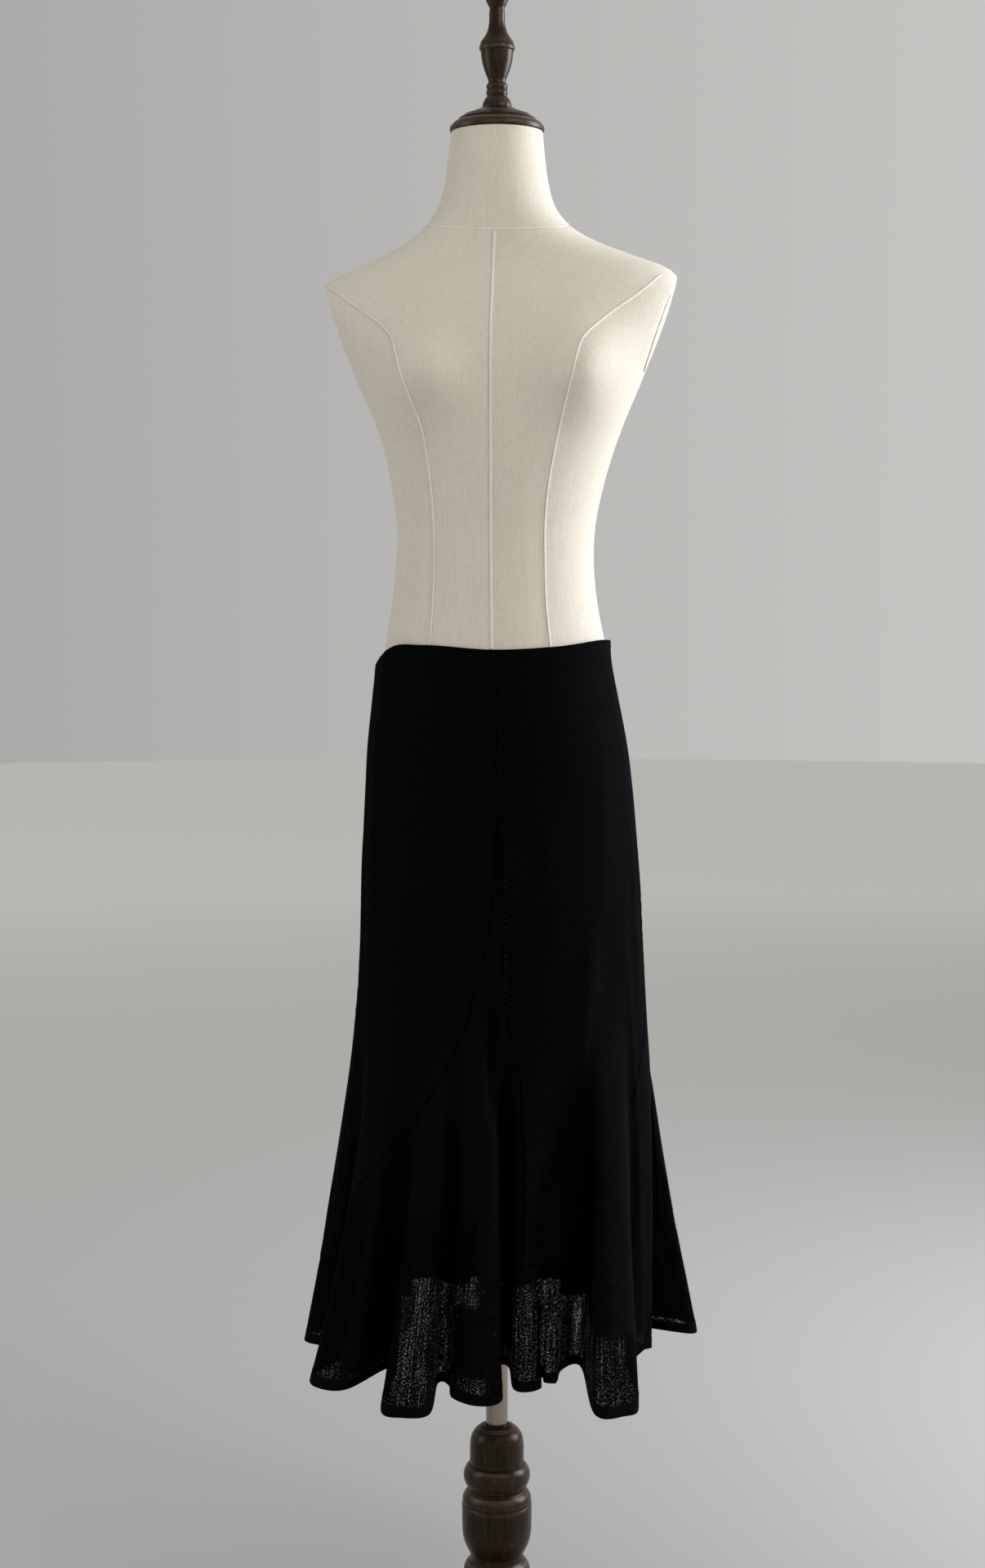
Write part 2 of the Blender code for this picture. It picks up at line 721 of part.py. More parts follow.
def torso(materials):
    """The torso, cut flat at the neck seam and the armholes, with its arm plates."""
    mesh = form_loft(with_socket=True)
    point, normal = neck_seam_plane(-NECK_SEAM_GAP / 2)
    cut_away(mesh, point, normal)
    things = []
    for side in ("left", "right"):
        point, normal = armhole_plane(side)
        face = cut_away(mesh, point, normal, ARMHOLE_FLOOR)
        rim = [corner.co.copy() for corner in face.verts]
        things.append(arm_plate(f"arm_plate_{side}", rim, normal, materials["cream_linen"]))
    return [finished("form_torso", mesh, materials["cream_linen"]), *things]


def arm_plate(name, rim, normal, material):
    """A thin plate on an armhole's flat, well inside its edge and above its middle."""
    centre = sum(rim, Vector()) / len(rim)
    rise = (Vector((0, 0, 1)) - normal * normal.z).normalized() * ARM_PLATE_RISE
    inset = [centre + (point - centre) * ARM_PLATE_INSET + rise for point in rim]
    mesh = bmesh.new()
    near = ring_verts(mesh, [point + normal * SEAT_GAP for point in inset])
    lift = normal * (SEAT_GAP + ARM_PLATE_THICKNESS)
    far = ring_verts(mesh, [point + lift for point in inset])
    bridge(mesh, near, far)
    mesh.faces.new(near)
    mesh.faces.new(far)
    return finished(name, mesh, material)


def neck(materials):
    mesh = form_loft(with_socket=False)
    point, normal = neck_seam_plane(NECK_SEAM_GAP / 2)
    cut_away(mesh, point, -normal)
    return finished("form_neck", mesh, materials["cream_linen"])


def turned(name, profile, sides, material, bore=None):
    """A solid turned about the Z axis, with a bore right through it if one is given."""
    mesh = bmesh.new()
    rings = [ring_verts(mesh, circle(row.radius, row.height, sides)) for row in profile]
    for lower, upper in zip(rings, rings[1:]):
        bridge(mesh, lower, upper)
    if bore is None:
        mesh.faces.new(rings[0])
        mesh.faces.new(rings[-1])
        return finished(name, mesh, material)
    mouth = ring_verts(mesh, circle(bore, profile[-1].height, sides))
    floor = ring_verts(mesh, circle(bore, profile[0].height, sides))
    bridge(mesh, rings[-1], mouth)
    bridge(mesh, mouth, floor)
    bridge(mesh, floor, rings[0])
    return finished(name, mesh, material)


def stand(materials):
    wood, chrome = materials["dark_wood"], materials["chrome"]
    bore = POLE_RADIUS + POLE_CLEARANCE
    collar_bottom = FORM_BOTTOM - SEAT_GAP - COLLAR_HEIGHT
    pole = (Turning(POLE_BOTTOM, POLE_RADIUS), Turning(POLE_TOP, POLE_RADIUS))
    collar = (
        Turning(collar_bottom, COLLAR_RADIUS - COLLAR_CHAMFER),
        Turning(collar_bottom + COLLAR_CHAMFER, COLLAR_RADIUS),
        Turning(collar_bottom + COLLAR_HEIGHT, COLLAR_RADIUS),
    )
    still = [
        turned("stand_foot", FOOT, FOOT_SIDES, wood),
        turned("stand_column", COLUMN, COLUMN_SIDES, wood, bore),
    ]
    sliding = [
        turned("pole", pole, POLE_SIDES, chrome),
        turned("pole_collar", collar, POLE_SIDES, chrome, bore),
    ]
    return still, sliding


def skirt(materials):
    cloth = materials["black_crepe"]
    panels = ("panel_front_right", "panel_back_right", "panel_back_left", "panel_front_left")
    made = [panel(name, seam, cloth) for seam, name in enumerate(panels)]
    made += [godet(f"godet_{name}", seam, cloth) for seam, name in enumerate(SEAM_ORDER)]
    return made


def gather(name, height, things, parent=None):
    """An empty on the Z axis that carries the things."""
    empty = bpy.data.objects.new(name, None)
    bpy.context.scene.collection.objects.link(empty)
    empty.location = (0, 0, height)
    if parent is not None:
        empty.parent = parent
        empty.location.z -= parent.location.z
    for thing in things:
        thing.parent = empty
        thing.location = (0, 0, -height)
    return empty


def main():
    clear_scene()
    materials = make_materials()
    still, sliding = stand(materials)
    turning = [
        *torso(materials),
        neck(materials),
        turned("neck_cap", NECK_CAP, CAP_SIDES, materials["dark_wood"]),
        turned("finial", FINIAL, FINIAL_SIDES, materials["dark_wood"]),
        *skirt(materials),
    ]
    base = gather("standing", 0.0, still)
    slide = gather("sliding_up", POLE_BOTTOM, sliding, base)
    gather("turning_round", FORM_BOTTOM, turning, slide)


main()
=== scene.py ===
"""Looks of a black mermaid skirt on a linen dress form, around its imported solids.

Metres, +Z up, the skirt's front towards -Y. A finer piece that keeps to its form stands
in for every solid. The stitches and the form's cords have no solid. Turns are in degrees
round the Z axis: -90 is the front, 0 the side at +X, 90 the back and 180 the side at -X.
"""

import math
from collections import namedtuple

import bmesh
import bpy
import numpy as np
from mathutils import Matrix, Vector


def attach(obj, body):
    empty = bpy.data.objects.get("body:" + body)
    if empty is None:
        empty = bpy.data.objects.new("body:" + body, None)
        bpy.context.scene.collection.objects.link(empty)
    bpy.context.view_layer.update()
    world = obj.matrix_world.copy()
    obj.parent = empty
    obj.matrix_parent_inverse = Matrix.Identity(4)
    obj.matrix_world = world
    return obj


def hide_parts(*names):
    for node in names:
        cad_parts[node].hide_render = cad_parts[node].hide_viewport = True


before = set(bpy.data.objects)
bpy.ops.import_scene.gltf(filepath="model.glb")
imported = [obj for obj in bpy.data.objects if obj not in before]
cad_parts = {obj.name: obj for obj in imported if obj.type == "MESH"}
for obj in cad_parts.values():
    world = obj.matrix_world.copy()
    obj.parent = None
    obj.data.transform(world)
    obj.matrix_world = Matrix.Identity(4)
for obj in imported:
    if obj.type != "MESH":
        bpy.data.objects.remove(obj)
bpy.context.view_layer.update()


def table(kind, *rows):
    """A table's rows, with their columns named."""
    return [kind(*row) for row in rows]


# Heights above the floor
HEM = 0.424
PETAL_TIP = 0.548
SPLIT = 1.030
TOP_BAND = 1.185
TOP_LEVEL = 1.230
FORM_BOTTOM = 1.030

# Cloth: its wall in the solids, its own thickness, and the steps of its mesh
CLOTH_WALL = 0.0015
CLOTH_THICKNESS = 0.00045
HEM_THICKNESS = 0.00095
HEM_TURN_UP = 0.0115
ROW_STEP = 0.0058
COLUMN_STEP = 0.0034
TOP_ROWS = 9
FINE_STEPS = 400
MERGE_DISTANCE = 0.00002
SEAM_MARGINS = (0.00012, 0.0005, 0.0013, 0.0026, 0.0048)
HEM_MARGINS = (0.0, 0.0006, 0.0018, 0.0040, 0.0070, 0.0100, 0.0112, 0.0125)
SEAM_DIP = 0.0008
SEAM_DIP_WIDTH = 0.0007

# How folds grow towards the hem, and how much lower the hem hangs where it stands out
FOLD_GROWTH = 1.42
SHOULDER_PLACE = 0.90
SHOULDER_DROP = 0.55
SHOULDER_SHARE = 0.42
FLOOR_SHARE = 0.20
HEM_DIP = 0.14
HEM_MIDDLE = 0.195
HEM_BACK_RISE = 0.012
HEM_SIDE_DIP = 0.008
HEM_ZONE = 0.580

# Where the cloth lies double: up from the hem, out from a seam and down from the top
# edge, whose rim is also thicker. Each band fades out between its two distances.
HEM_BAND = (HEM_TURN_UP - 0.0012, HEM_TURN_UP + 0.0004)
SEAM_BAND = (0.0050, 0.0085)
TOP_TURN_IN = (0.032, 0.030)
TOP_THICK = (0.009, 0.008)

# Above these heights the form and the cloth behind close the view through the skirt
CLOSED_FROM = (0.600, 0.630)

# Seams at the top edge
SEAM_TURN = {"front": -90.5, "right": 0.0, "back": 90.0, "left": 180.0}
SEAM_ORDER = ("front", "right", "back", "left")

# The skirt's outline without its folds, from the axis to the cloth's outer face
Girth = namedtuple("Girth", "height left right front back")
GIRTHS = table(
    Girth,
    (0.424, 0.190, 0.197, 0.184, 0.182),
    (0.496, 0.184, 0.192, 0.174, 0.173),
    (0.592, 0.177, 0.186, 0.160, 0.160),
    (0.687, 0.169, 0.180, 0.145, 0.147),
    (0.782, 0.1615, 0.1725, 0.132, 0.135),
    (0.876, 0.1560, 0.1670, 0.1225, 0.1265),
    (0.969, 0.1530, 0.1612, 0.1150, 0.1205),
    (1.062, 0.1490, 0.1535, 0.1085, 0.1165),
    (1.108, 0.1466, 0.1477, 0.1064, 0.1145),
    (1.154, 0.1418, 0.1390, 0.1021, 0.1070),
    (1.180, 0.1390, 0.1337, 0.0991, 0.1015),
    (1.205, 0.1360, 0.1292, 0.0965, 0.0955),
    (1.235, 0.1290, 0.1275, 0.0938, 0.0905),
)

# The top edge, which dips at the back and at the side at -X
Edge = namedtuple("Edge", "turn height")
TOP_EDGE = table(
    Edge,
    (-172, 1.204), (-163, 1.213), (-152, 1.2225), (-128, 1.2255), (-90, 1.221),
    (-60, 1.224), (-25, 1.23), (0, 1.228), (60, 1.214), (120, 1.206), (175, 1.2),
)

# How far round each branch of a seam has turned from the seam's top
Branch = namedtuple("Branch", "height turn")
SWEEPING = table(
    Branch,
    (0.424, 106.0), (0.462, 100.5), (0.53, 86.0), (0.58, 68.0), (0.673, 42.0),
    (0.693, 35.5), (0.743, 24.0), (0.769, 19.0), (0.818, 11.5), (0.876, 6.5),
    (0.905, 3.6), (0.955, 1.5), (1.03, 0.0),
)
UPRIGHT = table(
    Branch,
    (0.548, 9.5), (0.62, 9.8), (0.7, 9.5), (0.757, 8.5), (0.8, 5.5), (0.84, 3.2),
    (0.96, 3.0), (1.0, 1.8), (1.03, 0.0),
)

# Folds of the flared hem. A crest hangs from the turn "crest" of the hip and meets
# the hem at the turn "crest_at", "reach" from the axis. The valley that follows it
# does the same, down to "floor". Both begin at the height "start".
Fold = namedtuple(
    "Fold", "crest crest_at reach half_width valley valley_at floor half_floor start"
)
FOLDS = table(
    Fold,
    (-179, -179, 0.2220, 0.026, -160, -160, 0.172, 0.008, 0.840),  # side left
    (-142, -144, 0.2450, 0.036, -127, -134, 0.168, 0.008, 0.740),  # front far left
    (-114, -114.6, 0.2520, 0.032, -106.5, -110, 0.172, 0.006, 0.780),  # front left
    (-98, -96.4, 0.2120, 0.031, -87.5, -87, 0.124, 0.006, 0.840),  # front middle
    (-79.5, -79, 0.1800, 0.018, -73, -72, 0.150, 0.004, 0.740),  # front narrow
    (-68, -68.5, 0.1640, 0.009, -58, -54, 0.138, 0.013, 0.800),  # front tuck
    (-45, -56.8, 0.2520, 0.033, -27, -27, 0.168, 0.010, 0.850),  # front right
    (-8, -8, 0.1790, 0.015, 5, 11, 0.176, 0.004, 0.780),  # side tuck
    (17, 15.5, 0.2430, 0.029, 32, 32, 0.168, 0.009, 0.850),  # side right
    (47, 46, 0.2400, 0.029, 59, 58, 0.160, 0.008, 0.800),  # back far right
    (71, 72, 0.2360, 0.023, 83, 81, 0.166, 0.010, 0.780),  # back right
    (94, 93, 0.2300, 0.022, 104, 105, 0.170, 0.007, 0.850),  # back middle
    (115, 116, 0.2460, 0.027, 130, 132, 0.164, 0.009, 0.780),  # back left
    (147, 148, 0.2400, 0.030, 163, 164, 0.168, 0.009, 0.800),  # back far left
)

# Soft creases: a trough where the depth is above 0, and a ridge where it is below.
# Each runs from a turn at its top to a turn at its bottom, and falls off over its own
# width on its side of lower turns and on that of higher ones.
Crease = namedtuple(
    "Crease", "top_turn top bottom_turn bottom depth lower_side higher_side"
)
CREASES = table(
    Crease,
    (-90.0, 1.075, -88.5, 0.930, 0.0014, 0.0040, 0.0060),
    (-86.0, 1.060, -85.0, 0.905, -0.0012, 0.0040, 0.0110),
    (-50.0, 0.930, -58.5, 0.735, -0.0030, 0.0050, 0.0170),
    (-57.0, 0.800, -49.5, 0.680, -0.0022, 0.0045, 0.0130),
    (-58.0, 0.720, -80.0, 0.585, 0.0034, 0.0110, 0.0060),
    (-99.0, 0.880, -89.5, 0.445, -0.0046, 0.0110, 0.0055),
    (-86.5, 0.850, -97.0, 0.590, -0.0038, 0.0050, 0.0060),
    (-90.6, 0.860, -94.0, 0.700, 0.0032, 0.0045, 0.0040),
    (-109.0, 0.800, -111.0, 0.600, -0.0022, 0.0100, 0.0060),
    (-100.0, 0.980, -103.0, 0.840, 0.0010, 0.0070, 0.0120),
    (-114.0, 1.040, -117.0, 0.840, 0.0010, 0.0080, 0.0120),
    (-128.0, 0.960, -131.0, 0.720, 0.0024, 0.0070, 0.0130),
    (-151.0, 1.090, -148.0, 0.860, 0.0012, 0.0140, 0.0080),
    (-170.5, 1.150, -168.0, 0.640, -0.0020, 0.0060, 0.0040),
    (-71.0, 1.080, -66.0, 0.860, -0.0014, 0.0060, 0.0150),
    (-38.0, 1.130, -43.0, 0.930, -0.0014, 0.0070, 0.0160),
    (-32.0, 0.930, -17.0, 0.450, -0.0026, 0.0060, 0.0050),
    (-22.0, 1.020, -25.0, 0.800, 0.0014, 0.0060, 0.0120),
    (-8.0, 1.060, -12.0, 0.820, 0.0018, 0.0060, 0.0110),
    (12.0, 1.110, 15.0, 0.860, -0.0016, 0.0090, 0.0150),
    (24.0, 0.950, 29.0, 0.740, 0.0030, 0.0110, 0.0060),
    (41.0, 1.100, 37.0, 0.880, 0.0014, 0.0080, 0.0150),
    (54.0, 0.900, 61.0, 0.680, 0.0034, 0.0070, 0.0110),
    (68.0, 1.030, 75.0, 0.800, -0.0024, 0.0140, 0.0060),
    (92.5, 1.070, 95.0, 0.920, 0.0020, 0.0060, 0.0040),
    (99.0, 0.900, 107.0, 0.690, 0.0032, 0.0050, 0.0120),
    (121.0, 1.010, 127.0, 0.770, 0.0026, 0.0090, 0.0070),
    (139.0, 1.120, 135.0, 0.910, -0.0015, 0.0150, 0.0090),
    (154.0, 0.910, 162.0, 0.690, 0.0036, 0.0060, 0.0120),
    (172.0, 1.080, 176.0, 0.840, 0.0016, 0.0120, 0.0070),
    (-157.0, 1.300, -160.5, 0.860, -0.0010, 0.0035, 0.0050),
    (-19.5, 1.300, -18.0, 0.870, -0.0010, 0.0050, 0.0032),
    (24.0, 1.290, 21.0, 0.880, -0.0008, 0.0036, 0.0050),
    (158.0, 1.290, 161.0, 0.870, -0.0010, 0.0050, 0.0034),
)
CREASE_RISE = (-0.05, 0.35)
CREASE_FALL = (0.55, 1.15)

# Where the cloth lies double behind a flute, so that no light comes through
Doubled = namedtuple("Doubled", "from_turn to_turn low high")
DOUBLED = table(
    Doubled,
    (-137.5, -126.0, 0.436, 0.640),
    (-101.5, -96.5, 0.450, 0.518),
    (-97.5, -84.0, 0.450, 0.640),
    (-53.0, -35.5, 0.496, 0.640),
    (-34.0, 2.0, 0.448, 0.640),
)
DOUBLED_EDGE = 0.004

# Painted shade between folds: how far aside a place is compared with the cloth around it,
# the distance out of it that counts as full, and what creases and seams add to the
# painted shade
LOOK_ASIDE = (-16.0, -11.0, -6.0, 6.0, 11.0, 16.0)
FOLD_REACH = 0.016
CREASE_SHADE = 2.2
SEAM_SHADE = 1.6
SEAM_SHADE_WIDTH = 0.0009

# Puckers along the seams below where they part, with a length that sways
PUCKER_DEPTH = 0.00035
PUCKER_LENGTH = 0.010
PUCKER_REACH = 0.009
PUCKER_FULL = 0.90
PUCKER_SWAY = 2.1
PUCKER_SWAY_RATE = 61.0

# A slight unevenness all over, from waves round the cloth and up it
Wave = namedtuple("Wave", "around slant upward phase share")
WAVES = table(Wave, (7, 9.0, 23.0, 1.3, 0.65), (19, -14.0, 41.0, 0.0, 0.35))
WAVER_DEPTH = 0.0006
WAVER_FADE = (0.95, 1.15)

# Small steps that a direction is worked out from
TURN_NUDGE = 0.1
HEIGHT_NUDGE = 0.001
LEAST_LENGTH = 1e-12

# The dress form's outline, from the axis, with "middle" its centre's place in X.
# A fullness of 2 is an ellipse, and more is squarer.
Section = namedtuple("Section", "height half_width front back middle fullness")
FORM_SECTIONS = table(
    Section,
    (1.030, 0.1425, 0.1015, 0.1080, 0.0010, 2.0),
    (1.062, 0.1450, 0.1040, 0.1120, 0.0010, 2.0),
    (1.100, 0.1435, 0.1035, 0.1110, 0.0000, 2.0),
    (1.140, 0.1365, 0.1000, 0.1050, -0.0005, 2.0),
    (1.180, 0.1295, 0.0966, 0.0970, -0.0010, 2.0),
    (1.223, 0.1230, 0.0925, 0.0885, -0.0015, 2.0),
    (1.260, 0.1165, 0.0900, 0.0830, -0.0025, 2.0),
    (1.305, 0.1110, 0.0885, 0.0790, -0.0025, 2.05),
    (1.351, 0.1102, 0.0890, 0.0780, -0.0010, 2.1),
    (1.396, 0.1172, 0.0930, 0.0800, 0.0005, 2.15),
    (1.446, 0.1300, 0.0990, 0.0860, 0.0025, 2.2),
    (1.486, 0.1450, 0.1020, 0.0920, 0.0032, 2.2),
    (1.525, 0.1640, 0.1000, 0.0970, 0.0034, 2.2),
    (1.560, 0.1850, 0.0920, 0.1000, 0.0032, 2.25),
    (1.595, 0.1980, 0.0790, 0.0960, 0.0030, 2.3),
    (1.618, 0.1985, 0.0670, 0.0870, 0.0030, 2.3),
    (1.633, 0.1840, 0.0590, 0.0770, 0.0030, 2.2),
    (1.647, 0.1490, 0.0545, 0.0690, 0.0025, 2.1),
    (1.665, 0.1085, 0.0525, 0.0640, 0.0020, 2.0),
    (1.682, 0.0825, 0.0520, 0.0610, 0.0010, 2.0),
    (1.700, 0.0675, 0.0530, 0.0590, 0.0000, 2.0),
    (1.727, 0.0580, 0.0535, 0.0560, -0.0005, 2.0),
    (1.753, 0.0540, 0.0525, 0.0535, -0.0005, 2.0),
    (1.786, 0.0503, 0.0503, 0.0503, 0.0, 2.0),
)
FORM_SIDES = 144
FORM_ROW = 0.006
FORM_SMOOTHING = math.radians(42)
FORM_SIDE_LIMIT = 0.999
TILT_ROUNDS = 6
BUST_SPREAD = 0.092
BUST_HEIGHT = 1.518
BUST_RISE = 0.031
BUST_RADIUS = 0.047
SHOULDER_SLOPE = 0.036
SHOULDER_SLOPE_FROM = 1.450
SHOULDER_SLOPE_FULL = 1.600
NECK_LEVEL_FROM = 1.645
NECK_LEVEL_FULL = 1.700
TORSO_TOP = NECK_LEVEL_FULL + 0.05
NECK_BOTTOM = 1.640
NECK_TOP = 1.786

# The neck's seam, lower at the front than at the back
NECK_SEAM_HEIGHT = 1.689
NECK_SEAM_RISE = 0.27
NECK_SEAM_GAP = 0.0003

# The flat armholes, each through a high and a low point and turned to the front
ARMHOLE_HIGH = (0.1935, 1.622)
ARMHOLE_LOW = (0.1620, 1.530)
ARMHOLE_YAW = {"right": 6.5, "left": -2.0}
ARMHOLE_MIDDLE = 0.003
ARMHOLE_FLOOR = 1.440
ARM_PLATE_THICKNESS = 0.0015
ARM_PLATE_INSET = 0.62
ARM_PLATE_RISE = 0.006
SEAT_GAP = 0.0003
SAME_DIRECTION = 0.999
CUT_THRESHOLD = 1e-6

# A plate's rounded edge: how high over the flat, and how much smaller than the plate
ARM_PLATE_EDGE = (
    (0.0, 0.004),
    (0.0004, 0.0),
    (ARM_PLATE_THICKNESS - 0.0006, 0.0),
    (ARM_PLATE_THICKNESS - 0.0002, 0.006),
    (ARM_PLATE_THICKNESS, 0.016),
)

# Corded seams of the form's front and back, as the place in X at each height
SeamLine = namedtuple("SeamLine", "height x")
FRONT_CORDS = {
    "centre": table(
        SeamLine,
        (1.672, -0.0029), (1.621, -0.005), (1.564, -0.0071), (1.429, -0.0071),
        (1.322, -0.0068), (1.222, -0.0059),
    ),
    "princess_left": table(
        SeamLine,
        (1.615, -0.182), (1.589, -0.1496), (1.574, -0.1294), (1.558, -0.1147),
        (1.54, -0.1089), (1.517, -0.1034), (1.488, -0.0924), (1.462, -0.0823),
        (1.428, -0.0756), (1.393, -0.0714), (1.358, -0.0689), (1.314, -0.0681),
        (1.27, -0.0699), (1.222, -0.0735),
    ),
    "princess_right": table(
        SeamLine,
        (1.629, 0.18), (1.605, 0.1521), (1.581, 0.12), (1.552, 0.0905), (1.534, 0.0843),
        (1.512, 0.0791), (1.479, 0.071), (1.441, 0.0627), (1.402, 0.0558),
        (1.358, 0.0516), (1.314, 0.0517), (1.278, 0.0527), (1.222, 0.058),
    ),
}
BACK_CORDS = {
    "back_centre": table(
        SeamLine,
        (1.655, 0.0), (1.56, 0.0), (1.44, 0.0), (1.32, 0.0), (1.21, 0.0),
    ),
    "back_princess_left": table(
        SeamLine,
        (1.612, -0.17), (1.57, -0.118), (1.52, -0.087), (1.45, -0.07), (1.37, -0.058),
        (1.3, -0.056), (1.21, -0.066),
    ),
    "back_princess_right": table(
        SeamLine,
        (1.622, 0.17), (1.575, 0.118), (1.525, 0.087), (1.45, 0.07), (1.37, 0.058),
        (1.3, 0.056), (1.21, 0.066),
    ),
}
CORD_RADIUS = {"centre": 0.00145, "princess": 0.00105, "neck": 0.0009}
CORD_STEP = 0.004
CORD_RAISE = 0.45
CORD_ROUNDNESS = 2

# Pole, the bore it slides in, and the collar under the form
POLE_RADIUS = 0.01275
POLE_BOTTOM = 0.190
POLE_TOP = 1.110
POLE_CLEARANCE = 0.00035
BORE_RADIUS = POLE_RADIUS + POLE_CLEARANCE
SOCKET_TOP = POLE_TOP + 0.001
COLLAR_RADIUS = 0.032
COLLAR_HEIGHT = 0.014
COLLAR_SLOPE = 0.004
COLLAR_BOTTOM = FORM_BOTTOM - SEAT_GAP - COLLAR_HEIGHT

# Turned wood, from the lowest ring to the highest. A crisp ring keeps its edge.
Turning = namedtuple("Turning", "height radius crisp", defaults=(False,))
FOOT = table(
    Turning,
    (0.0, 0.164, True), (0.0015, 0.1665), (0.006, 0.1695), (0.0115, 0.17),
    (0.017, 0.169, True), (0.0182, 0.1655, True), (0.023, 0.163), (0.029, 0.145),
    (0.035, 0.098), (0.0405, 0.062, True), (0.0418, 0.056, True), (0.046, 0.053),
    (0.048, 0.048, True),
)
COLUMN = table(
    Turning,
    (0.0483, 0.0395, True), (0.052, 0.04), (0.058, 0.0398), (0.064, 0.0375, True),
    (0.0655, 0.0345, True), (0.076, 0.0318), (0.1, 0.03), (0.124, 0.0308),
    (0.133, 0.0335, True), (0.1345, 0.0356, True), (0.141, 0.0375), (0.148, 0.0385),
    (0.1555, 0.0376), (0.161, 0.0345), (0.164, 0.0312, True), (0.17, 0.0308),
    (0.1785, 0.0345), (0.186, 0.0376), (0.194, 0.0394), (0.208, 0.0402),
    (0.23, 0.0404, True), (0.2318, 0.0392, True), (0.2345, 0.0398), (0.239, 0.0392),
    (0.244, 0.0366), (0.2475, 0.0328, True), (0.249, 0.0324, True), (0.252, 0.0344),
    (0.257, 0.037), (0.2625, 0.0384), (0.2685, 0.038), (0.2735, 0.036),
    (0.2775, 0.0328, True), (0.2785, 0.0308, True), (0.28, 0.0313, True),
    (0.288, 0.0312), (0.302, 0.0309), (0.311, 0.0292), (0.318, 0.0248),
    (0.3222, 0.0195), (0.324, 0.015, True),
)
NECK_CAP = table(
    Turning,
    (1.7863, 0.0507, True), (1.7872, 0.0518, True), (1.7895, 0.0522),
    (1.7918, 0.0519, True), (1.7924, 0.0508, True), (1.7955, 0.0487),
    (1.7978, 0.0452, True), (1.7984, 0.0434, True), (1.8005, 0.0428),
    (1.8016, 0.0408, True), (1.802, 0.0394, True), (1.805, 0.0362, True),
    (1.8056, 0.0345, True), (1.8085, 0.0265), (1.812, 0.019, True),
)
FINIAL = table(
    Turning,
    (1.8123, 0.0163, True), (1.815, 0.0162), (1.8195, 0.0149), (1.824, 0.0122, True),
    (1.8252, 0.0106, True), (1.8264, 0.0112, True), (1.829, 0.012),
    (1.8318, 0.0112, True), (1.8324, 0.0109, True), (1.8352, 0.0119),
    (1.8382, 0.0112, True), (1.839, 0.0097, True), (1.842, 0.0096), (1.846, 0.0112),
    (1.854, 0.0143), (1.864, 0.0169), (1.8738, 0.018, True), (1.875, 0.0194, True),
    (1.8772, 0.0197), (1.8795, 0.019, True), (1.8835, 0.0178), (1.8875, 0.015),
    (1.895, 0.0108), (1.903, 0.009), (1.915, 0.0087, True), (1.9165, 0.0083, True),
    (1.9205, 0.0084, True), (1.9225, 0.0098, True), (1.929, 0.0125), (1.936, 0.0136),
    (1.943, 0.0125), (1.9485, 0.0086), (1.9512, 0.003, True),
)
POLE = table(Turning, (POLE_BOTTOM, POLE_RADIUS, True), (POLE_TOP, POLE_RADIUS, True))
COLLAR = table(
    Turning,
    (COLLAR_BOTTOM, COLLAR_RADIUS - COLLAR_SLOPE, True),
    (COLLAR_BOTTOM + COLLAR_SLOPE, COLLAR_RADIUS, True),
    (COLLAR_BOTTOM + COLLAR_HEIGHT, COLLAR_RADIUS, True),
)
LATHE_SIDES = 72
LATHE_BEVEL = 0.00022
LATHE_BEVEL_ANGLE = math.radians(32)
LATHE_SMOOTHING = math.radians(50)
# The height round a ring that the wood's paler ridges are measured against, and the share
# of it that counts as full out: partly rubbed wear, partly a painted highlight
WEAR_AND_HIGHLIGHT_REACH = 0.004
WEAR_AND_HIGHLIGHT_FULL = 0.35

# What is turned: its name, its profile with the most between two rings, its bore, the
# body it rides on and the solid it stands for
Lathe = namedtuple("Lathe", "name profile step bore body node")
TURNED = table(
    Lathe,
    ("turned_foot", FOOT, 0.0035, None, "stand", "stand_foot"),
    ("turned_column", COLUMN, 0.0016, BORE_RADIUS, "stand", "stand_column"),
    ("turned_cap", NECK_CAP, 0.0012, None, "form", "neck_cap"),
    ("turned_finial", FINIAL, 0.0010, None, "form", "finial"),
    ("chrome_pole", POLE, 0.1, None, "pole", "pole"),
    ("chrome_collar", COLLAR, 0.1, BORE_RADIUS, "pole", "pole_collar"),
)

# Stitches. A lift is from the middle of the cloth, and the pale ones run on a line. The
# pale ones are a painted glint: light through the needle holes by the front seam, drawn
# as pale stitches.
STITCH_PITCH = 0.0026
STITCH_LENGTH = 0.0018
STITCH_WIDTH = 0.00032
STITCH_SIDES = 6
STITCH_ROUNDING = 0.22
STITCH_AHEAD = 0.0006
LEAST_STEP = 1e-7
TOP_STITCH_DROP = 0.0075
TOP_STITCH_LIFT = 0.00052
TOP_LINE_STEP = 0.5
HEM_STITCH_LIFT = 0.00062
HEM_LINE_STEP = 0.1
PALE_PITCH = 0.0062
PALE_STITCH_LIFT = 0.00045
PALE_HEIGHTS = (1.005, 0.820)
PALE_TURNS = (-86.6, -87.0)
PALE_POINTS = 120

# Flat cut of a piece of cloth: its width, length and area. No piece is given one.
Cut = namedtuple("Cut", "width length area")

# Finishes are mixed from noise. A pattern has its cells per metre in each direction, its
# detail and its roughness. A range says where a sum of patterns counts as 0 and as 1. A
# relief has its depth and its strength, and a share is a pattern's weight in a sum.
Pattern = namedtuple("Pattern", "cells detail roughness", defaults=(2.0, 0.5))
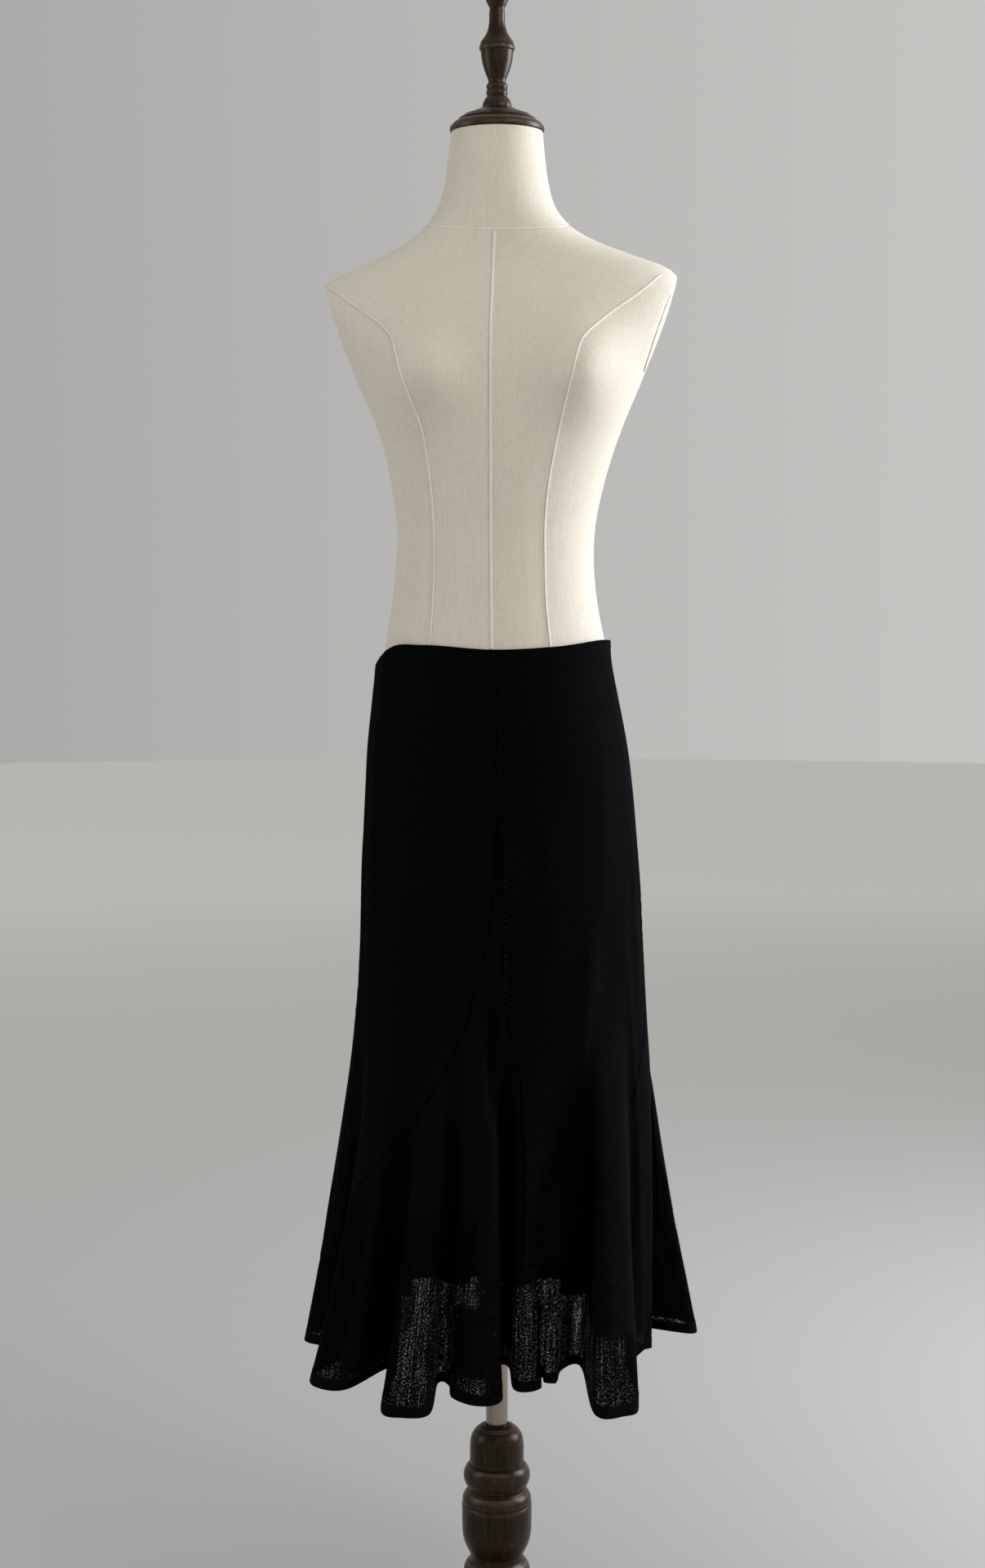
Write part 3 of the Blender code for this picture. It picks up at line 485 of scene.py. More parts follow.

# Crepe. It is clear in the dots alone. Painted shade darkens it and dulls its shine in
# folds, in creases, along seams and where it is thin.
CREPE_DOTS = Pattern((860, 560, 1), 1.0, 0.6)
CREPE_STREAKS, STREAKS_SHARE = Pattern((360, 20, 1), 2.0, 0.6), 0.45
CREPE_DRIFT, DRIFT_SHARE = Pattern((60, 5, 1), 1.0), 0.15
CREPE_GRAIN = Pattern((2300, 1700, 1), 2.0, 0.7)
CREPE_RIBS, RIBS_SHARE = Pattern((900, 70, 1)), 0.8
CREPE_NAP = Pattern((620, 110, 1), 3.0, 0.7)
CREPE_RELIEF = (0.00022, 0.9)
CLEAR_RANGE, CLEAR_MOST, CLEAR_LEAST = (0.83, 1.02), 0.62, 0.008
FOLD_RANGE, SHADE_IN_FOLDS, SHADE_WHERE_THIN = (0.30, -0.50), 0.72, 0.5
CREPE_SHINE, CREPE_SHINE_LOST = 0.5, 0.30
CREPE_TONES = (0.78, 1.26)
CREPE_DEEP, CREPE_PALE = (0.0011, 0.0010, 0.0014), (0.0050, 0.0047, 0.0061)
CREPE_SHADED = (0.0002, 0.0002, 0.0003)
# The pale thread's lightness paints a glint of light through needle holes
THREAD_BLACK, THREAD_GLINT = 0.0035, 0.065
THREAD_BLUENESS = 1.05

# Linen, of threads that run up and across, with slubs
LINEN_UPRIGHT = Pattern((1500, 1500, 95), 3.0, 0.6)
LINEN_LEVEL = Pattern((110, 110, 1900), 3.0, 0.6)
LINEN_SLUBS, SLUBS_SHARE = Pattern((420, 420, 16)), 0.7
LINEN_RELIEF = (0.00030, 0.85)
LINEN_TONES, LINEN_DARKENING = (1.05, 1.62), 0.86
LINEN_CREAM, CORD_PALE = (0.745, 0.695, 0.592), (0.86, 0.82, 0.74)

# Wood, paler in blotches on the ridges of its profile, partly rubbed wear and partly a
# painted highlight, and chrome
WOOD_GRAIN = Pattern((420, 420, 22), 4.0, 0.62)
WOOD_PORES = Pattern((1500, 1500, 90))
WOOD_BLOTCHES = Pattern((38, 38, 38), 3.0, 0.6)
WOOD_RELIEF = (0.00012, 0.6)
WOOD_TONES, PORE_RANGE, RUBBED_RANGE = (0.36, 0.66), (0.60, 0.72), (0.28, 0.55)
WOOD_DEEP, WOOD_BROWN = (0.0040, 0.0019, 0.0010), (0.0270, 0.0150, 0.0086)
# The second colour on the next line is the paler bronze of the ridges: partly rubbed
# wear, partly a painted highlight
WOOD_IN_PORES, WOOD_WORN_AND_LIT = (0.004, 0.0025, 0.0018), (0.092, 0.066, 0.044)
WOOD_SHINE, WOOD_DULLNESS = (1.0, 0.80, 0.62, 1), (-0.9, 3.5)
CHROME_STREAKS, CHROME_DULLNESS = Pattern((900, 900, 6), 3.0, 0.6), (-0.2, 4.2)
# Darker and browner than bare chrome: a painted reflection of darker, browner
# surroundings
CHROME_PAINTED_REFLECTION_TONE = (0.36, 0.31, 0.26, 1)

# Stage
FLOOR_NEAR, FLOOR_FAR = (0.345, 0.341, 0.331), (0.96, 0.95, 0.925)
FLOOR_RADIUS = 14.0
FLOOR_SIDES = 96
FLOOR_PALE_AT = 7.0
FLOOR_PALING = 0.85
Lamp = namedtuple("Lamp", "name place aim width height power colour")
LAMPS = table(
    Lamp,
    ("key", (2.3, 0.55, 1.85), (0.0, 0.0, 1.25), 1.0, 1.9, 77.0, (0.95, 0.98, 1.06)),
    ("bust", (1.5, -1.7, 2.70), (0.0, 0.0, 1.50), 0.5, 0.5, 15.0, (1.0, 0.99, 0.95)),
    ("left", (-2.3, -0.4, 1.60), (0.0, 0.0, 1.20), 0.8, 1.6, 12.0, (0.97, 0.98, 1.0)),
    ("front", (-0.4, -3.4, 2.10), (0.0, 0.0, 1.00), 2.0, 2.0, 6.0, (1.0, 0.94, 0.84)),
)

# Light from all round: the least and the most, and how it grows towards +X
AMBIENT_MIDDLE = 0.48
AMBIENT_SLOPE = 0.36
AMBIENT_LEAST = 0.38
AMBIENT_MOST = 0.60
AMBIENT_TONE = (1.0, 0.99, 0.965, 1)

# Camera, at the height of an eye, tilted down a little
CAMERA_PLACE = (-0.005, -2.615, 1.300)
CAMERA_TILT = 5.1
CAMERA_LENS = 53.44
CAMERA_SENSOR = 36.0


class Curve:
    """A smooth curve through knots. A closed one repeats every full turn."""

    def __init__(self, places, values, closed=False):
        places = np.array(places, float)
        values = np.array(values, float)
        if closed:
            places = np.concatenate([places[-2:] - 360, places, places[:2] + 360])
            values = np.concatenate([values[-2:], values, values[:2]])
        self.places = places
        self.values = values
        self.slopes = np.gradient(values, places)
        self.closed = closed

    def at(self, place):
        place = np.asarray(place, float)
        if self.closed:
            start = self.places[1]
            place = start + (place - start) % 360
        place = np.clip(place, self.places[0], self.places[-1])
        k = np.searchsorted(self.places, place, "right") - 1
        k = np.clip(k, 0, len(self.places) - 2)
        width = self.places[k + 1] - self.places[k]
        t = (place - self.places[k]) / width
        value = (1 + 2 * t) * (1 - t) ** 2 * self.values[k]
        value += t * t * (3 - 2 * t) * self.values[k + 1]
        value += t * (1 - t) ** 2 * width * self.slopes[k]
        return value + t * t * (t - 1) * width * self.slopes[k + 1]


def table_curve(rows, place, value):
    """The curve of one column of a table against another."""
    rows = sorted(rows, key=lambda row: getattr(row, place))
    return Curve(
        [getattr(row, place) for row in rows], [getattr(row, value) for row in rows]
    )


def eased(value, start, end):
    """0 up to start and 1 from end on, with a smooth way between."""
    t = np.clip((value - start) / (end - start), 0.0, 1.0)
    return t * t * (3 - 2 * t)


def hump(distance, width):
    """1 in the middle, fading away over a width."""
    return np.exp(-((distance / width) ** 2))


def from_axis(points):
    return np.hypot(points[..., 0], points[..., 1])


def lengths_along(points):
    """How far along its row each point lies."""
    steps = np.linalg.norm(np.diff(points, axis=-2), axis=-1)
    return np.concatenate([np.zeros_like(steps[..., :1]), np.cumsum(steps, axis=-1)], -1)


def polar(turn, radius):
    angle = math.radians(turn)
    return Vector((radius * math.cos(angle), radius * math.sin(angle)))


girth_curves = {
    side: table_curve(GIRTHS, "height", side)
    for side in ("left", "right", "front", "back")
}
top_edge = Curve(
    [row.turn for row in TOP_EDGE], [row.height for row in TOP_EDGE], closed=True
)
sweeping = table_curve(SWEEPING, "height", "turn")
upright = table_curve(UPRIGHT, "height", "turn")


def bare_outline(turn, height):
    """The skirt's place in plan, if it had no folds."""
    cosine, sine = np.cos(np.radians(turn)), np.sin(np.radians(turn))
    girth = {side: curve.at(height) for side, curve in girth_curves.items()}
    across = np.where(cosine > 0, girth["right"], girth["left"]) * cosine
    along = np.where(sine > 0, girth["back"], girth["front"]) * sine
    return across, along


def hem_knots():
    """The hem's curve in plan: three knots over each fold's crest and two along the
    floor of its valley."""
    knots = []
    for k, fold in enumerate(FOLDS):
        before = FOLDS[k - 1].valley - (360 if k == 0 else 0)
        after = FOLDS[(k + 1) % len(FOLDS)].crest + (360 if k == len(FOLDS) - 1 else 0)
        rise, fall = fold.crest - before, fold.valley - fold.crest
        top, outward = polar(fold.crest_at, fold.reach), polar(fold.crest_at, 1.0)
        sideways = fold.half_width * SHOULDER_PLACE * polar(fold.crest_at + 90, 1.0)
        inward = outward * fold.half_width * SHOULDER_DROP
        floor = polar(fold.valley_at, fold.floor)
        along_floor = polar(fold.valley_at + 90, fold.half_floor)
        knots += [
            (fold.crest - SHOULDER_SHARE * rise, top - sideways - inward),
            (fold.crest, top),
            (fold.crest + SHOULDER_SHARE * fall, top + sideways - inward),
            (fold.valley - FLOOR_SHARE * fall, floor - along_floor),
            (fold.valley + FLOOR_SHARE * (after - fold.valley), floor + along_floor),
        ]
    return knots


HEM_KNOTS = hem_knots()
hem_x = Curve([k[0] for k in HEM_KNOTS], [k[1].x for k in HEM_KNOTS], closed=True)
hem_y = Curve([k[0] for k in HEM_KNOTS], [k[1].y for k in HEM_KNOTS], closed=True)
fold_start = Curve(
    [turn for fold in FOLDS for turn in (fold.crest, fold.valley)],
    [fold.start for fold in FOLDS for _ in range(2)],
    closed=True,
)
ARC_TURNS = np.arange(-220, 400, 0.25)
HEM_ARCS = np.cumsum(np.hypot(
    np.diff(hem_x.at(ARC_TURNS), prepend=0), np.diff(hem_y.at(ARC_TURNS), prepend=0)
))


def dipped(turn, height):
    """Heights near the hem, which hangs lower where it stands out further."""
    reach = np.hypot(hem_x.at(turn), hem_y.at(turn))
    at_back = (1 + np.sin(np.radians(turn))) / 2
    at_side = np.maximum(np.cos(np.radians(turn)), 0.0)
    shift = HEM_BACK_RISE * at_back - HEM_SIDE_DIP * at_side
    shift = shift - HEM_DIP * (reach - HEM_MIDDLE)
    share = np.clip((HEM_ZONE - height) / (HEM_ZONE - HEM), 0.0, None)
    return height + shift * share


def skirt_points(turn, height):
    """Points of the solid cloth's outer face."""
    turn, height = np.broadcast_arrays(turn, height)
    x, y = bare_outline(turn, height)
    start = fold_start.at(turn)
    share = (np.clip(start - height, 0.0, None) / (start - HEM)) ** FOLD_GROWTH
    bare_x, bare_y = bare_outline(turn, np.full_like(height, HEM, dtype=float))
    x = x + share * (hem_x.at(turn) - bare_x)
    y = y + share * (hem_y.at(turn) - bare_y)
    return np.stack([x, y, height], axis=-1)


def unit(vectors):
    lengths = np.linalg.norm(vectors, axis=-1, keepdims=True)
    return vectors / np.maximum(lengths, LEAST_LENGTH)


def skirt_normals(turn, height):
    """The directions that point out of the cloth."""
    after, before = turn + TURN_NUDGE, turn - TURN_NUDGE
    above, below = height + HEIGHT_NUDGE, height - HEIGHT_NUDGE
    across = skirt_points(after, height) - skirt_points(before, height)
    upward = skirt_points(turn, above) - skirt_points(turn, below)
    return unit(np.cross(across, upward))


def crease_depth(turn, height, points):
    """How far the soft creases press the cloth in."""
    radius = from_axis(points)
    depth = np.zeros_like(height)
    for crease in CREASES:
        along = (crease.top - height) / (crease.top - crease.bottom)
        centre = crease.top_turn + (crease.bottom_turn - crease.top_turn) * along
        aside = (turn - centre + 180) % 360 - 180
        width = np.where(aside < 0, crease.lower_side, crease.higher_side)
        fade = eased(along, *CREASE_RISE) * (1 - eased(along, *CREASE_FALL))
        depth += crease.depth * fade * hump(np.radians(aside) * radius, width)
    return depth


def waver(turn, height):
    """How far the slight unevenness presses the cloth in."""
    depth = 0.0
    for wave in WAVES:
        swing = np.sin(np.radians(turn * wave.around) + height * wave.slant)
        depth = depth + wave.share * (swing * np.sin(height * wave.upward + wave.phase))
    return WAVER_DEPTH * (1 - eased(height, *WAVER_FADE)) * depth


def doubled(turn, height):
    """1 where the cloth lies double behind a flute, and 0 elsewhere."""
    share = np.zeros_like(height)
    for row in DOUBLED:
        inside = (turn > row.from_turn) & (turn < row.to_turn)
        rising = eased(height, row.low - DOUBLED_EDGE, row.low + DOUBLED_EDGE)
        falling = 1 - eased(height, row.high, row.high + DOUBLED_EDGE)
        share = np.maximum(share, inside * rising * falling)
    return share


def openness(turn, height, points):
    """How far a place stands out of the folds around it, from -1 to 1."""
    mean = np.zeros_like(height)
    for step in LOOK_ASIDE:
        mean += from_axis(skirt_points(turn + step, height)) / len(LOOK_ASIDE)
    out = from_axis(points) - mean
    out = out - CREASE_SHADE * crease_depth(turn, height, points)
    return np.clip(out / FOLD_REACH, -1.0, 1.0)


def seam_turns(seam, branch, height):
    """Where a seam's branch is at each height."""
    start = SEAM_TURN[SEAM_ORDER[seam % 4]] + 360 * (seam // 4)
    below = np.minimum(height, SPLIT)
    if branch == "sweeping":
        return start - np.where(height >= SPLIT, 0.0, sweeping.at(below))
    return start + np.where(height >= SPLIT, 0.0, upright.at(below))


def row_heights(top, bottom):
    """Heights of a piece's rows, close together along the hem."""
    low = HEM + HEM_MARGINS[-1] if bottom == HEM else bottom
    count = max(int(round((top - low) / ROW_STEP)), 2)
    heights = list(np.linspace(top, low, count + 1))
    if bottom == HEM:
        heights += [HEM + margin for margin in HEM_MARGINS[-2::-1]]
    return np.array(heights)


def column_shares(lengths):
    """For each row, the columns' places between its two ends, as lengths from the left
    end. A few columns run along each seam at fixed distances."""
    widest = lengths.max()
    inside = max(int(round((widest - 2 * SEAM_MARGINS[-1]) / COLUMN_STEP)), 2)
    margins = np.array(SEAM_MARGINS)
    shrink = np.minimum(lengths / (4 * margins[-1]), 1.0)[:, None]
    left = margins[None, :] * shrink
    right = lengths[:, None] - left[:, ::-1]
    steps = np.linspace(0, 1, inside + 1)[1:-1][None, :]
    middle = left[:, -1:] + (right[:, :1] - left[:, -1:]) * steps
    return np.concatenate([left, middle, right], axis=1)


def measured_rows(left, right, heights):
    """Turns and arc lengths finely along each row of a piece."""
    shares = np.linspace(0, 1, FINE_STEPS)
    turns = left[:, None] + (right - left)[:, None] * shares[None, :]
    points = skirt_points(turns, dipped(turns, heights[:, None]))
    return turns, lengths_along(points)


def select_none():
    for thing in bpy.context.selected_objects:
        thing.select_set(False)


def make_active(thing):
    select_none()
    thing.select_set(True)
    bpy.context.view_layer.objects.active = thing


def new_object(name, data):
    thing = bpy.data.objects.new(name, data)
    bpy.context.scene.collection.objects.link(thing)
    return thing


def finish_piece(thing, body, material, nodes=()):
    """Gives a piece its material, its body and the nodes it stands for."""
    thing.data.materials.clear()
    thing.data.materials.append(material)
    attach(thing, body)
    if nodes:
        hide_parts(*nodes)


def grid_mesh(name, points, uvs, looks):
    """A sheet through a grid of points, with its UV map and its named attributes."""
    rows, columns = points.shape[:2]
    data = bpy.data.meshes.new(name)
    index = np.arange(rows * columns).reshape(rows, columns)
    corners = (index[:-1, :-1], index[1:, :-1], index[1:, 1:], index[:-1, 1:])
    faces = np.stack(corners, -1).reshape(-1, 4)
    data.from_pydata(points.reshape(-1, 3).tolist(), [], faces.tolist())
    loops = np.zeros(len(data.loops), int)
    data.loops.foreach_get("vertex_index", loops)
    layer = data.uv_layers.new(name="cloth")
    layer.data.foreach_set("uv", uvs.reshape(-1, 2)[loops].ravel())
    for look, shares in looks.items():
        values = data.attributes.new(look, "FLOAT", "POINT")
        values.data.foreach_set("value", shares.ravel().astype(np.float32))
    return data


def thicken(thing, least, most, thick):
    """Gives a sheet its thickness, from least to most, by each point's share of thick."""
    group = thing.vertex_groups.new(name="thick")
    for level in np.unique(np.round(thick.ravel(), 2)):
        members = np.flatnonzero(np.round(thick.ravel(), 2) == level)
        group.add(members.tolist(), float(level), "REPLACE")
    edit(thing)
    bpy.ops.mesh.remove_doubles(threshold=MERGE_DISTANCE)
    bpy.ops.object.mode_set(mode="OBJECT")
    solid = thing.modifiers.new("thickness", "SOLIDIFY")
    solid.thickness = most
    solid.offset = 0.0
    solid.vertex_group = "thick"
    solid.thickness_vertex_group = least / most
    bpy.ops.object.modifier_apply(modifier="thickness")
    bpy.ops.object.shade_smooth()


def cloth_piece(name, left, right, heights, has_top):
    """A piece of the skirt between two seams, as a thin shell along the middle of its
    solid's wall. left and right hold the seams' turns at each height."""
    fine_turns, arcs = measured_rows(left, right, heights)
    lengths = arcs[:, -1]
    places = column_shares(lengths)
    turns = np.array([
        np.interp(place, arc, fine) for place, arc, fine in zip(places, arcs, fine_turns)
    ])
    nominal = np.repeat(heights[:, None], turns.shape[1], axis=1)
    if has_top:
        lift = np.clip(nominal - TOP_BAND, 0.0, None) / (TOP_LEVEL - TOP_BAND)
        edge = TOP_BAND + lift * (top_edge.at(turns) - TOP_BAND)
        nominal = np.where(nominal > TOP_BAND, edge, nominal)
    height = dipped(turns, nominal)
    outer = skirt_points(turns, height)
    normals = skirt_normals(turns, height)
    to_seam = np.minimum(places, lengths[:, None] - places)
    along = lengths_along(outer[:, 0])[:, None]
    slanted = 1 - eased(nominal, PUCKER_FULL, SPLIT)
    sway = PUCKER_SWAY * np.sin(along * PUCKER_SWAY_RATE)
    pucker = np.sin(2 * np.pi * along / PUCKER_LENGTH + sway)
    pucker = pucker * slanted * PUCKER_DEPTH * hump(to_seam, PUCKER_REACH)
    inward = CLOTH_WALL / 2 + SEAM_DIP * hump(to_seam, SEAM_DIP_WIDTH) + pucker
    inward = inward + crease_depth(turns, nominal, outer) + waver(turns, nominal)
    points = outer - normals * inward[..., None]
    across = places if has_top else np.interp(turns, ARC_TURNS, HEM_ARCS)
    to_hem = nominal - HEM
    hem_band = 1 - eased(to_hem, *HEM_BAND)
    seam_band = 1 - eased(to_seam, *SEAM_BAND)
    rim = top_edge.at(turns)
    top_band = eased(nominal, *(rim - drop for drop in TOP_TURN_IN))
    top_thick = eased(nominal, *(rim - drop for drop in TOP_THICK))
    behind = np.maximum(doubled(turns, nominal), eased(nominal, *CLOSED_FROM))
    dense = np.maximum.reduce([hem_band, seam_band, top_band, behind])
    thick = np.maximum(hem_band, top_thick)
    # Painted shade along the seams, taken off the attribute "open"
    painted_seam_shade = SEAM_SHADE * hump(to_seam, SEAM_SHADE_WIDTH)
    looks = {"dense": dense, "open": openness(turns, height, outer) - painted_seam_shade}
    data = grid_mesh(name, points, np.stack([across, -nominal], -1), looks)
    thing = new_object(name, data)
    thicken(thing, CLOTH_THICKNESS, HEM_THICKNESS, thick)
    return thing


def panel_heights():
    """Rows of a petal, from the top edge's level down to its tip."""
    top = np.linspace(TOP_LEVEL, TOP_BAND, TOP_ROWS)
    return np.concatenate([top, row_heights(TOP_BAND, PETAL_TIP)[1:]])


def ordered(left, right):
    """Both ends of each row, met in the middle where they cross."""
    middle = (left + right) / 2
    crossed = right < left
    return np.where(crossed, middle, left), np.where(crossed, middle, right)


def panel(name, seam):
    """A petal from a seam's upright branch to the next seam's sweeping branch."""
    heights = panel_heights()
    left = seam_turns(seam, "upright", heights)
    right = seam_turns(seam + 1, "sweeping", heights)
    return cloth_piece(name, *ordered(left, right), heights, has_top=True)


def godet(name, seam):
    """The wedge below a seam's parting, down to the hem."""
    heights = row_heights(SPLIT, HEM)
    left = seam_turns(seam, "sweeping", heights)
    right = np.where(
        heights > PETAL_TIP,
        seam_turns(seam, "upright", heights),
        seam_turns(seam + 1, "sweeping", heights),
    )
    return cloth_piece(name, *ordered(left, right), heights, has_top=False)


form_curves = {
    name: table_curve(FORM_SECTIONS, "height", name)
    for name in ("half_width", "front", "back", "middle", "fullness")
}


def form_tilt(height):
    """How far the shoulders' slope lifts the side at +X, per metre from the middle."""
    rising = eased(height, SHOULDER_SLOPE_FROM, SHOULDER_SLOPE_FULL)
    return SHOULDER_SLOPE * (rising - eased(height, NECK_LEVEL_FROM, NECK_LEVEL_FULL))


def bust(x, height, middle):
    """How far the bust stands out in front."""
    out = 0.0
    for side in (-1, 1):
        away = np.hypot(x - middle - side * BUST_SPREAD, height - BUST_HEIGHT)
        out = out + BUST_RISE * hump(away, BUST_RADIUS)
    return out


def form_points(angle, height):
    """Points of the dress form at angles round it, before any cut."""
    at = {name: curve.at(height) for name, curve in form_curves.items()}
    cosine, sine = np.cos(angle), np.sin(angle)
    power = 2 / at["fullness"]
    x = at["middle"] + at["half_width"] * np.sign(cosine) * np.abs(cosine) ** power
    depth = np.where(sine > 0, at["back"], at["front"])
    y = depth * np.sign(sine) * np.abs(sine) ** power
    y = np.where(y < 0, y - bust(x, height, at["middle"]), y)
    return np.stack([x, y, height + form_tilt(height) * x], axis=-1)


def point_on_form(x, z, face):
    """The form's front or back face at a place in X and a real height."""
    height = z
    for _ in range(TILT_ROUNDS):
        height = z - float(form_tilt(height)) * x
    at = {name: float(curve.at(height)) for name, curve in form_curves.items()}
    power = 2 / at["fullness"]
    across = min(abs(x - at["middle"]) / at["half_width"], FORM_SIDE_LIMIT)
    cosine = across ** (1 / power)
    along = math.sqrt(1 - cosine * cosine) ** power
    if face == "back":
        return Vector((x, at["back"] * along, z))
    return Vector((x, -at["front"] * along - float(bust(x, height, at["middle"])), z))


def rings_mesh(name, rings):
    """Quads between rings of as many points. Both ends stay open."""
    count, sides = rings.shape[:2]
    index = np.arange(count * sides).reshape(count, sides)
    after = np.roll(index, -1, axis=1)
    faces = np.stack([index[:-1], after[:-1], after[1:], index[1:]], -1).reshape(-1, 4)
    data = bpy.data.meshes.new(name)
    data.from_pydata(rings.reshape(-1, 3).tolist(), [], faces.tolist())
    return data


def edit(thing):
    """Opens a piece in edit mode, all selected."""
    make_active(thing)
    bpy.ops.object.mode_set(mode="EDIT")
    bpy.ops.mesh.select_all(action="SELECT")


def leave_edit():
    """Turns all faces outwards and goes back to object mode."""
    bpy.ops.mesh.select_all(action="SELECT")
    bpy.ops.mesh.normals_make_consistent(inside=False)
    bpy.ops.object.mode_set(mode="OBJECT")


def close_holes():
    bpy.ops.mesh.select_all(action="SELECT")
    bpy.ops.mesh.fill_holes(sides=0)


def closed_piece(name, rings):
    """A piece through rings, with both ends closed."""
    thing = new_object(name, rings_mesh(name, rings))
    edit(thing)
    close_holes()
    leave_edit()
    return thing


def largest_flat(thing, normal):
    """The corners of the widest face that looks along a direction."""
    flat = (
        face for face in thing.data.polygons if face.normal.dot(normal) > SAME_DIRECTION
    )
    widest = max(flat, key=lambda face: face.area)
    return [thing.data.vertices[k].co.copy() for k in widest.vertices]


def bisect(thing, point, normal, above=None):
    """Cuts off what lies beyond a plane, closes the cut and returns its rim."""
    edit(thing)
    if above is not None:
        mesh = bmesh.from_edit_mesh(thing.data)
        for corner in mesh.verts:
            corner.select = corner.co.z > above and corner.co.x * normal.x > 0
        mesh.select_flush(False)
        bmesh.update_edit_mesh(thing.data)
    bpy.ops.mesh.bisect(
        plane_co=point, plane_no=normal, use_fill=True, clear_outer=True,
        threshold=CUT_THRESHOLD,
    )
    leave_edit()
    return largest_flat(thing, normal)


def smoothed(thing, angle):
    """A piece shaded smooth, but for edges sharper than an angle."""
    make_active(thing)
    bpy.ops.object.shade_smooth_by_angle(angle=angle)
    return thing


def neck_seam_plane(offset):
    """A point on the neck's seam, or as far above it, and the seam's upward direction."""
    point = Vector((0, 0, NECK_SEAM_HEIGHT + offset))
    return point, Vector((0, -NECK_SEAM_RISE, 1)).normalized()


def armhole_plane(side):
    """A point on an armhole's flat and the flat's outward direction."""
    sign = 1 if side == "right" else -1
    high, low = ARMHOLE_HIGH, ARMHOLE_LOW
    along = Vector((high[0] - low[0], 0, high[1] - low[1])).normalized()
    yaw = Matrix.Rotation(math.radians(-ARMHOLE_YAW[side]), 3, "Z")
    outward = yaw @ Vector((along.z, 0, -along.x))
    across = (high[0] + low[0]) / 2 * sign + ARMHOLE_MIDDLE
    point = Vector((across, 0, (high[1] + low[1]) / 2))
    return point, Vector((outward.x * sign, outward.y, outward.z))


def form_rings(low, high):
    """Rings round the form from one height to another."""
    rows = int((high - low) / FORM_ROW) + 1
    heights = np.linspace(low, high, rows)
    angles = np.arange(FORM_SIDES) * 2 * np.pi / FORM_SIDES
    return form_points(angles[None, :], np.repeat(heights[:, None], FORM_SIDES, axis=1))


def torso():
    """The torso with the pole's socket, and the rims of its neck seam and armholes."""
    rings = form_rings(FORM_BOTTOM, TORSO_TOP)
    angles = np.arange(FORM_SIDES) * 2 * np.pi / FORM_SIDES
    bore = BORE_RADIUS * np.stack([np.cos(angles), np.sin(angles)], -1)
    socket = [
        np.concatenate([bore, np.full((FORM_SIDES, 1), z)], axis=1)
        for z in (SOCKET_TOP, FORM_BOTTOM)
    ]
    thing = closed_piece("form_cover", np.stack([*socket, *rings]))
    rims = {"neck": bisect(thing, *neck_seam_plane(-NECK_SEAM_GAP / 2))}
    for side in ("left", "right"):
        rims[side] = bisect(thing, *armhole_plane(side), above=ARMHOLE_FLOOR)
    return smoothed(thing, FORM_SMOOTHING), rims


def neck():
    """The neck, from its slanted seam up to the cap."""
    thing = closed_piece("neck_cover", form_rings(NECK_BOTTOM, NECK_TOP))
    point, normal = neck_seam_plane(NECK_SEAM_GAP / 2)
    bisect(thing, point, -normal)
    return smoothed(thing, FORM_SMOOTHING)


def arm_plate(side, rim):
    """A thin plate on an armhole's flat, with its edge rounded over."""
    _, normal = armhole_plane(side)
    centre = sum(rim, Vector()) / len(rim)
    rise = (Vector((0, 0, 1)) - normal * normal.z).normalized() * ARM_PLATE_RISE
    rings = []
    for lift, smaller in ARM_PLATE_EDGE:
        middle = centre + rise + normal * (SEAT_GAP + lift)
        share = ARM_PLATE_INSET - smaller
        rings.append([middle + (point - centre) * share for point in rim])
    thing = closed_piece(f"arm_cover_{side}", np.array(rings, float))
    return smoothed(thing, LATHE_SMOOTHING)


def tube(name, points, radius, closed=False):
    """A round cord along points."""
    line = bpy.data.curves.new(name, "CURVE")
    line.dimensions = "3D"
    line.bevel_depth = radius
    line.bevel_resolution = CORD_ROUNDNESS
    line.use_fill_caps = True
    spline = line.splines.new("POLY")
    spline.points.add(len(points) - 1)
    for corner, point in zip(spline.points, points):
        corner.co = (*point, 1.0)
    spline.use_cyclic_u = closed
    thing = new_object(name, line)
    make_active(thing)
    bpy.ops.object.convert(target="MESH")
    bpy.ops.object.shade_smooth()
    return bpy.context.object


def joined(name, things):
    """Several objects as one piece."""
    make_active(things[0])
    for thing in things[1:]:
        thing.select_set(True)
    bpy.ops.object.join()
    thing = bpy.context.object
    thing.name = name
    thing.data.name = name
    return thing


def cords():
    """The corded seams of the form's front and back."""
    things = []
    for face, seams in (("front", FRONT_CORDS), ("back", BACK_CORDS)):
        for name, rows in seams.items():
            places = table_curve(rows, "height", "x")
            radius = CORD_RADIUS["centre" if "centre" in name else "princess"]
            top = max(row.height for row in rows)
            bottom = min(row.height for row in rows)
            heights = np.linspace(top, bottom, int((top - bottom) / CORD_STEP))
            points = [point_on_form(float(places.at(z)), z, face) for z in heights]
            outward = Vector((0, -1 if face == "front" else 1, 0))
            points = [point + outward * radius * CORD_RAISE for point in points]
            things.append(tube(name, points, radius))
    return joined("form_cords", things)


def smooth_profile(rows, step):
    """Rings along a profile: smooth between crisp ones, step apart at most."""
    rings = [(rows[0].height, rows[0].radius)]
    start = 0
    for k in range(1, len(rows)):
        if not rows[k].crisp and k < len(rows) - 1:
            continue
        run = rows[start:k + 1]
        points = np.array([(row.height, row.radius) for row in run])
        places = lengths_along(points)
        count = max(int(places[-1] / step), 1) if len(run) > 2 else 1
        at = np.linspace(0, places[-1], count + 1)[1:]
        if len(run) > 2:
            pair = [Curve(places, points[:, column]).at(at) for column in (0, 1)]
        else:
            pair = [np.interp(at, places, points[:, column]) for column in (0, 1)]
        rings += list(zip(*pair))
        start = k
    return rings


def extrude_ring(rise, factor):
    """Draws the selected ring up and scales it about the axis."""
    bpy.ops.mesh.extrude_region_move(TRANSFORM_OT_translate={"value": (0, 0, rise)})
    bpy.ops.transform.resize(value=(factor, factor, 1))


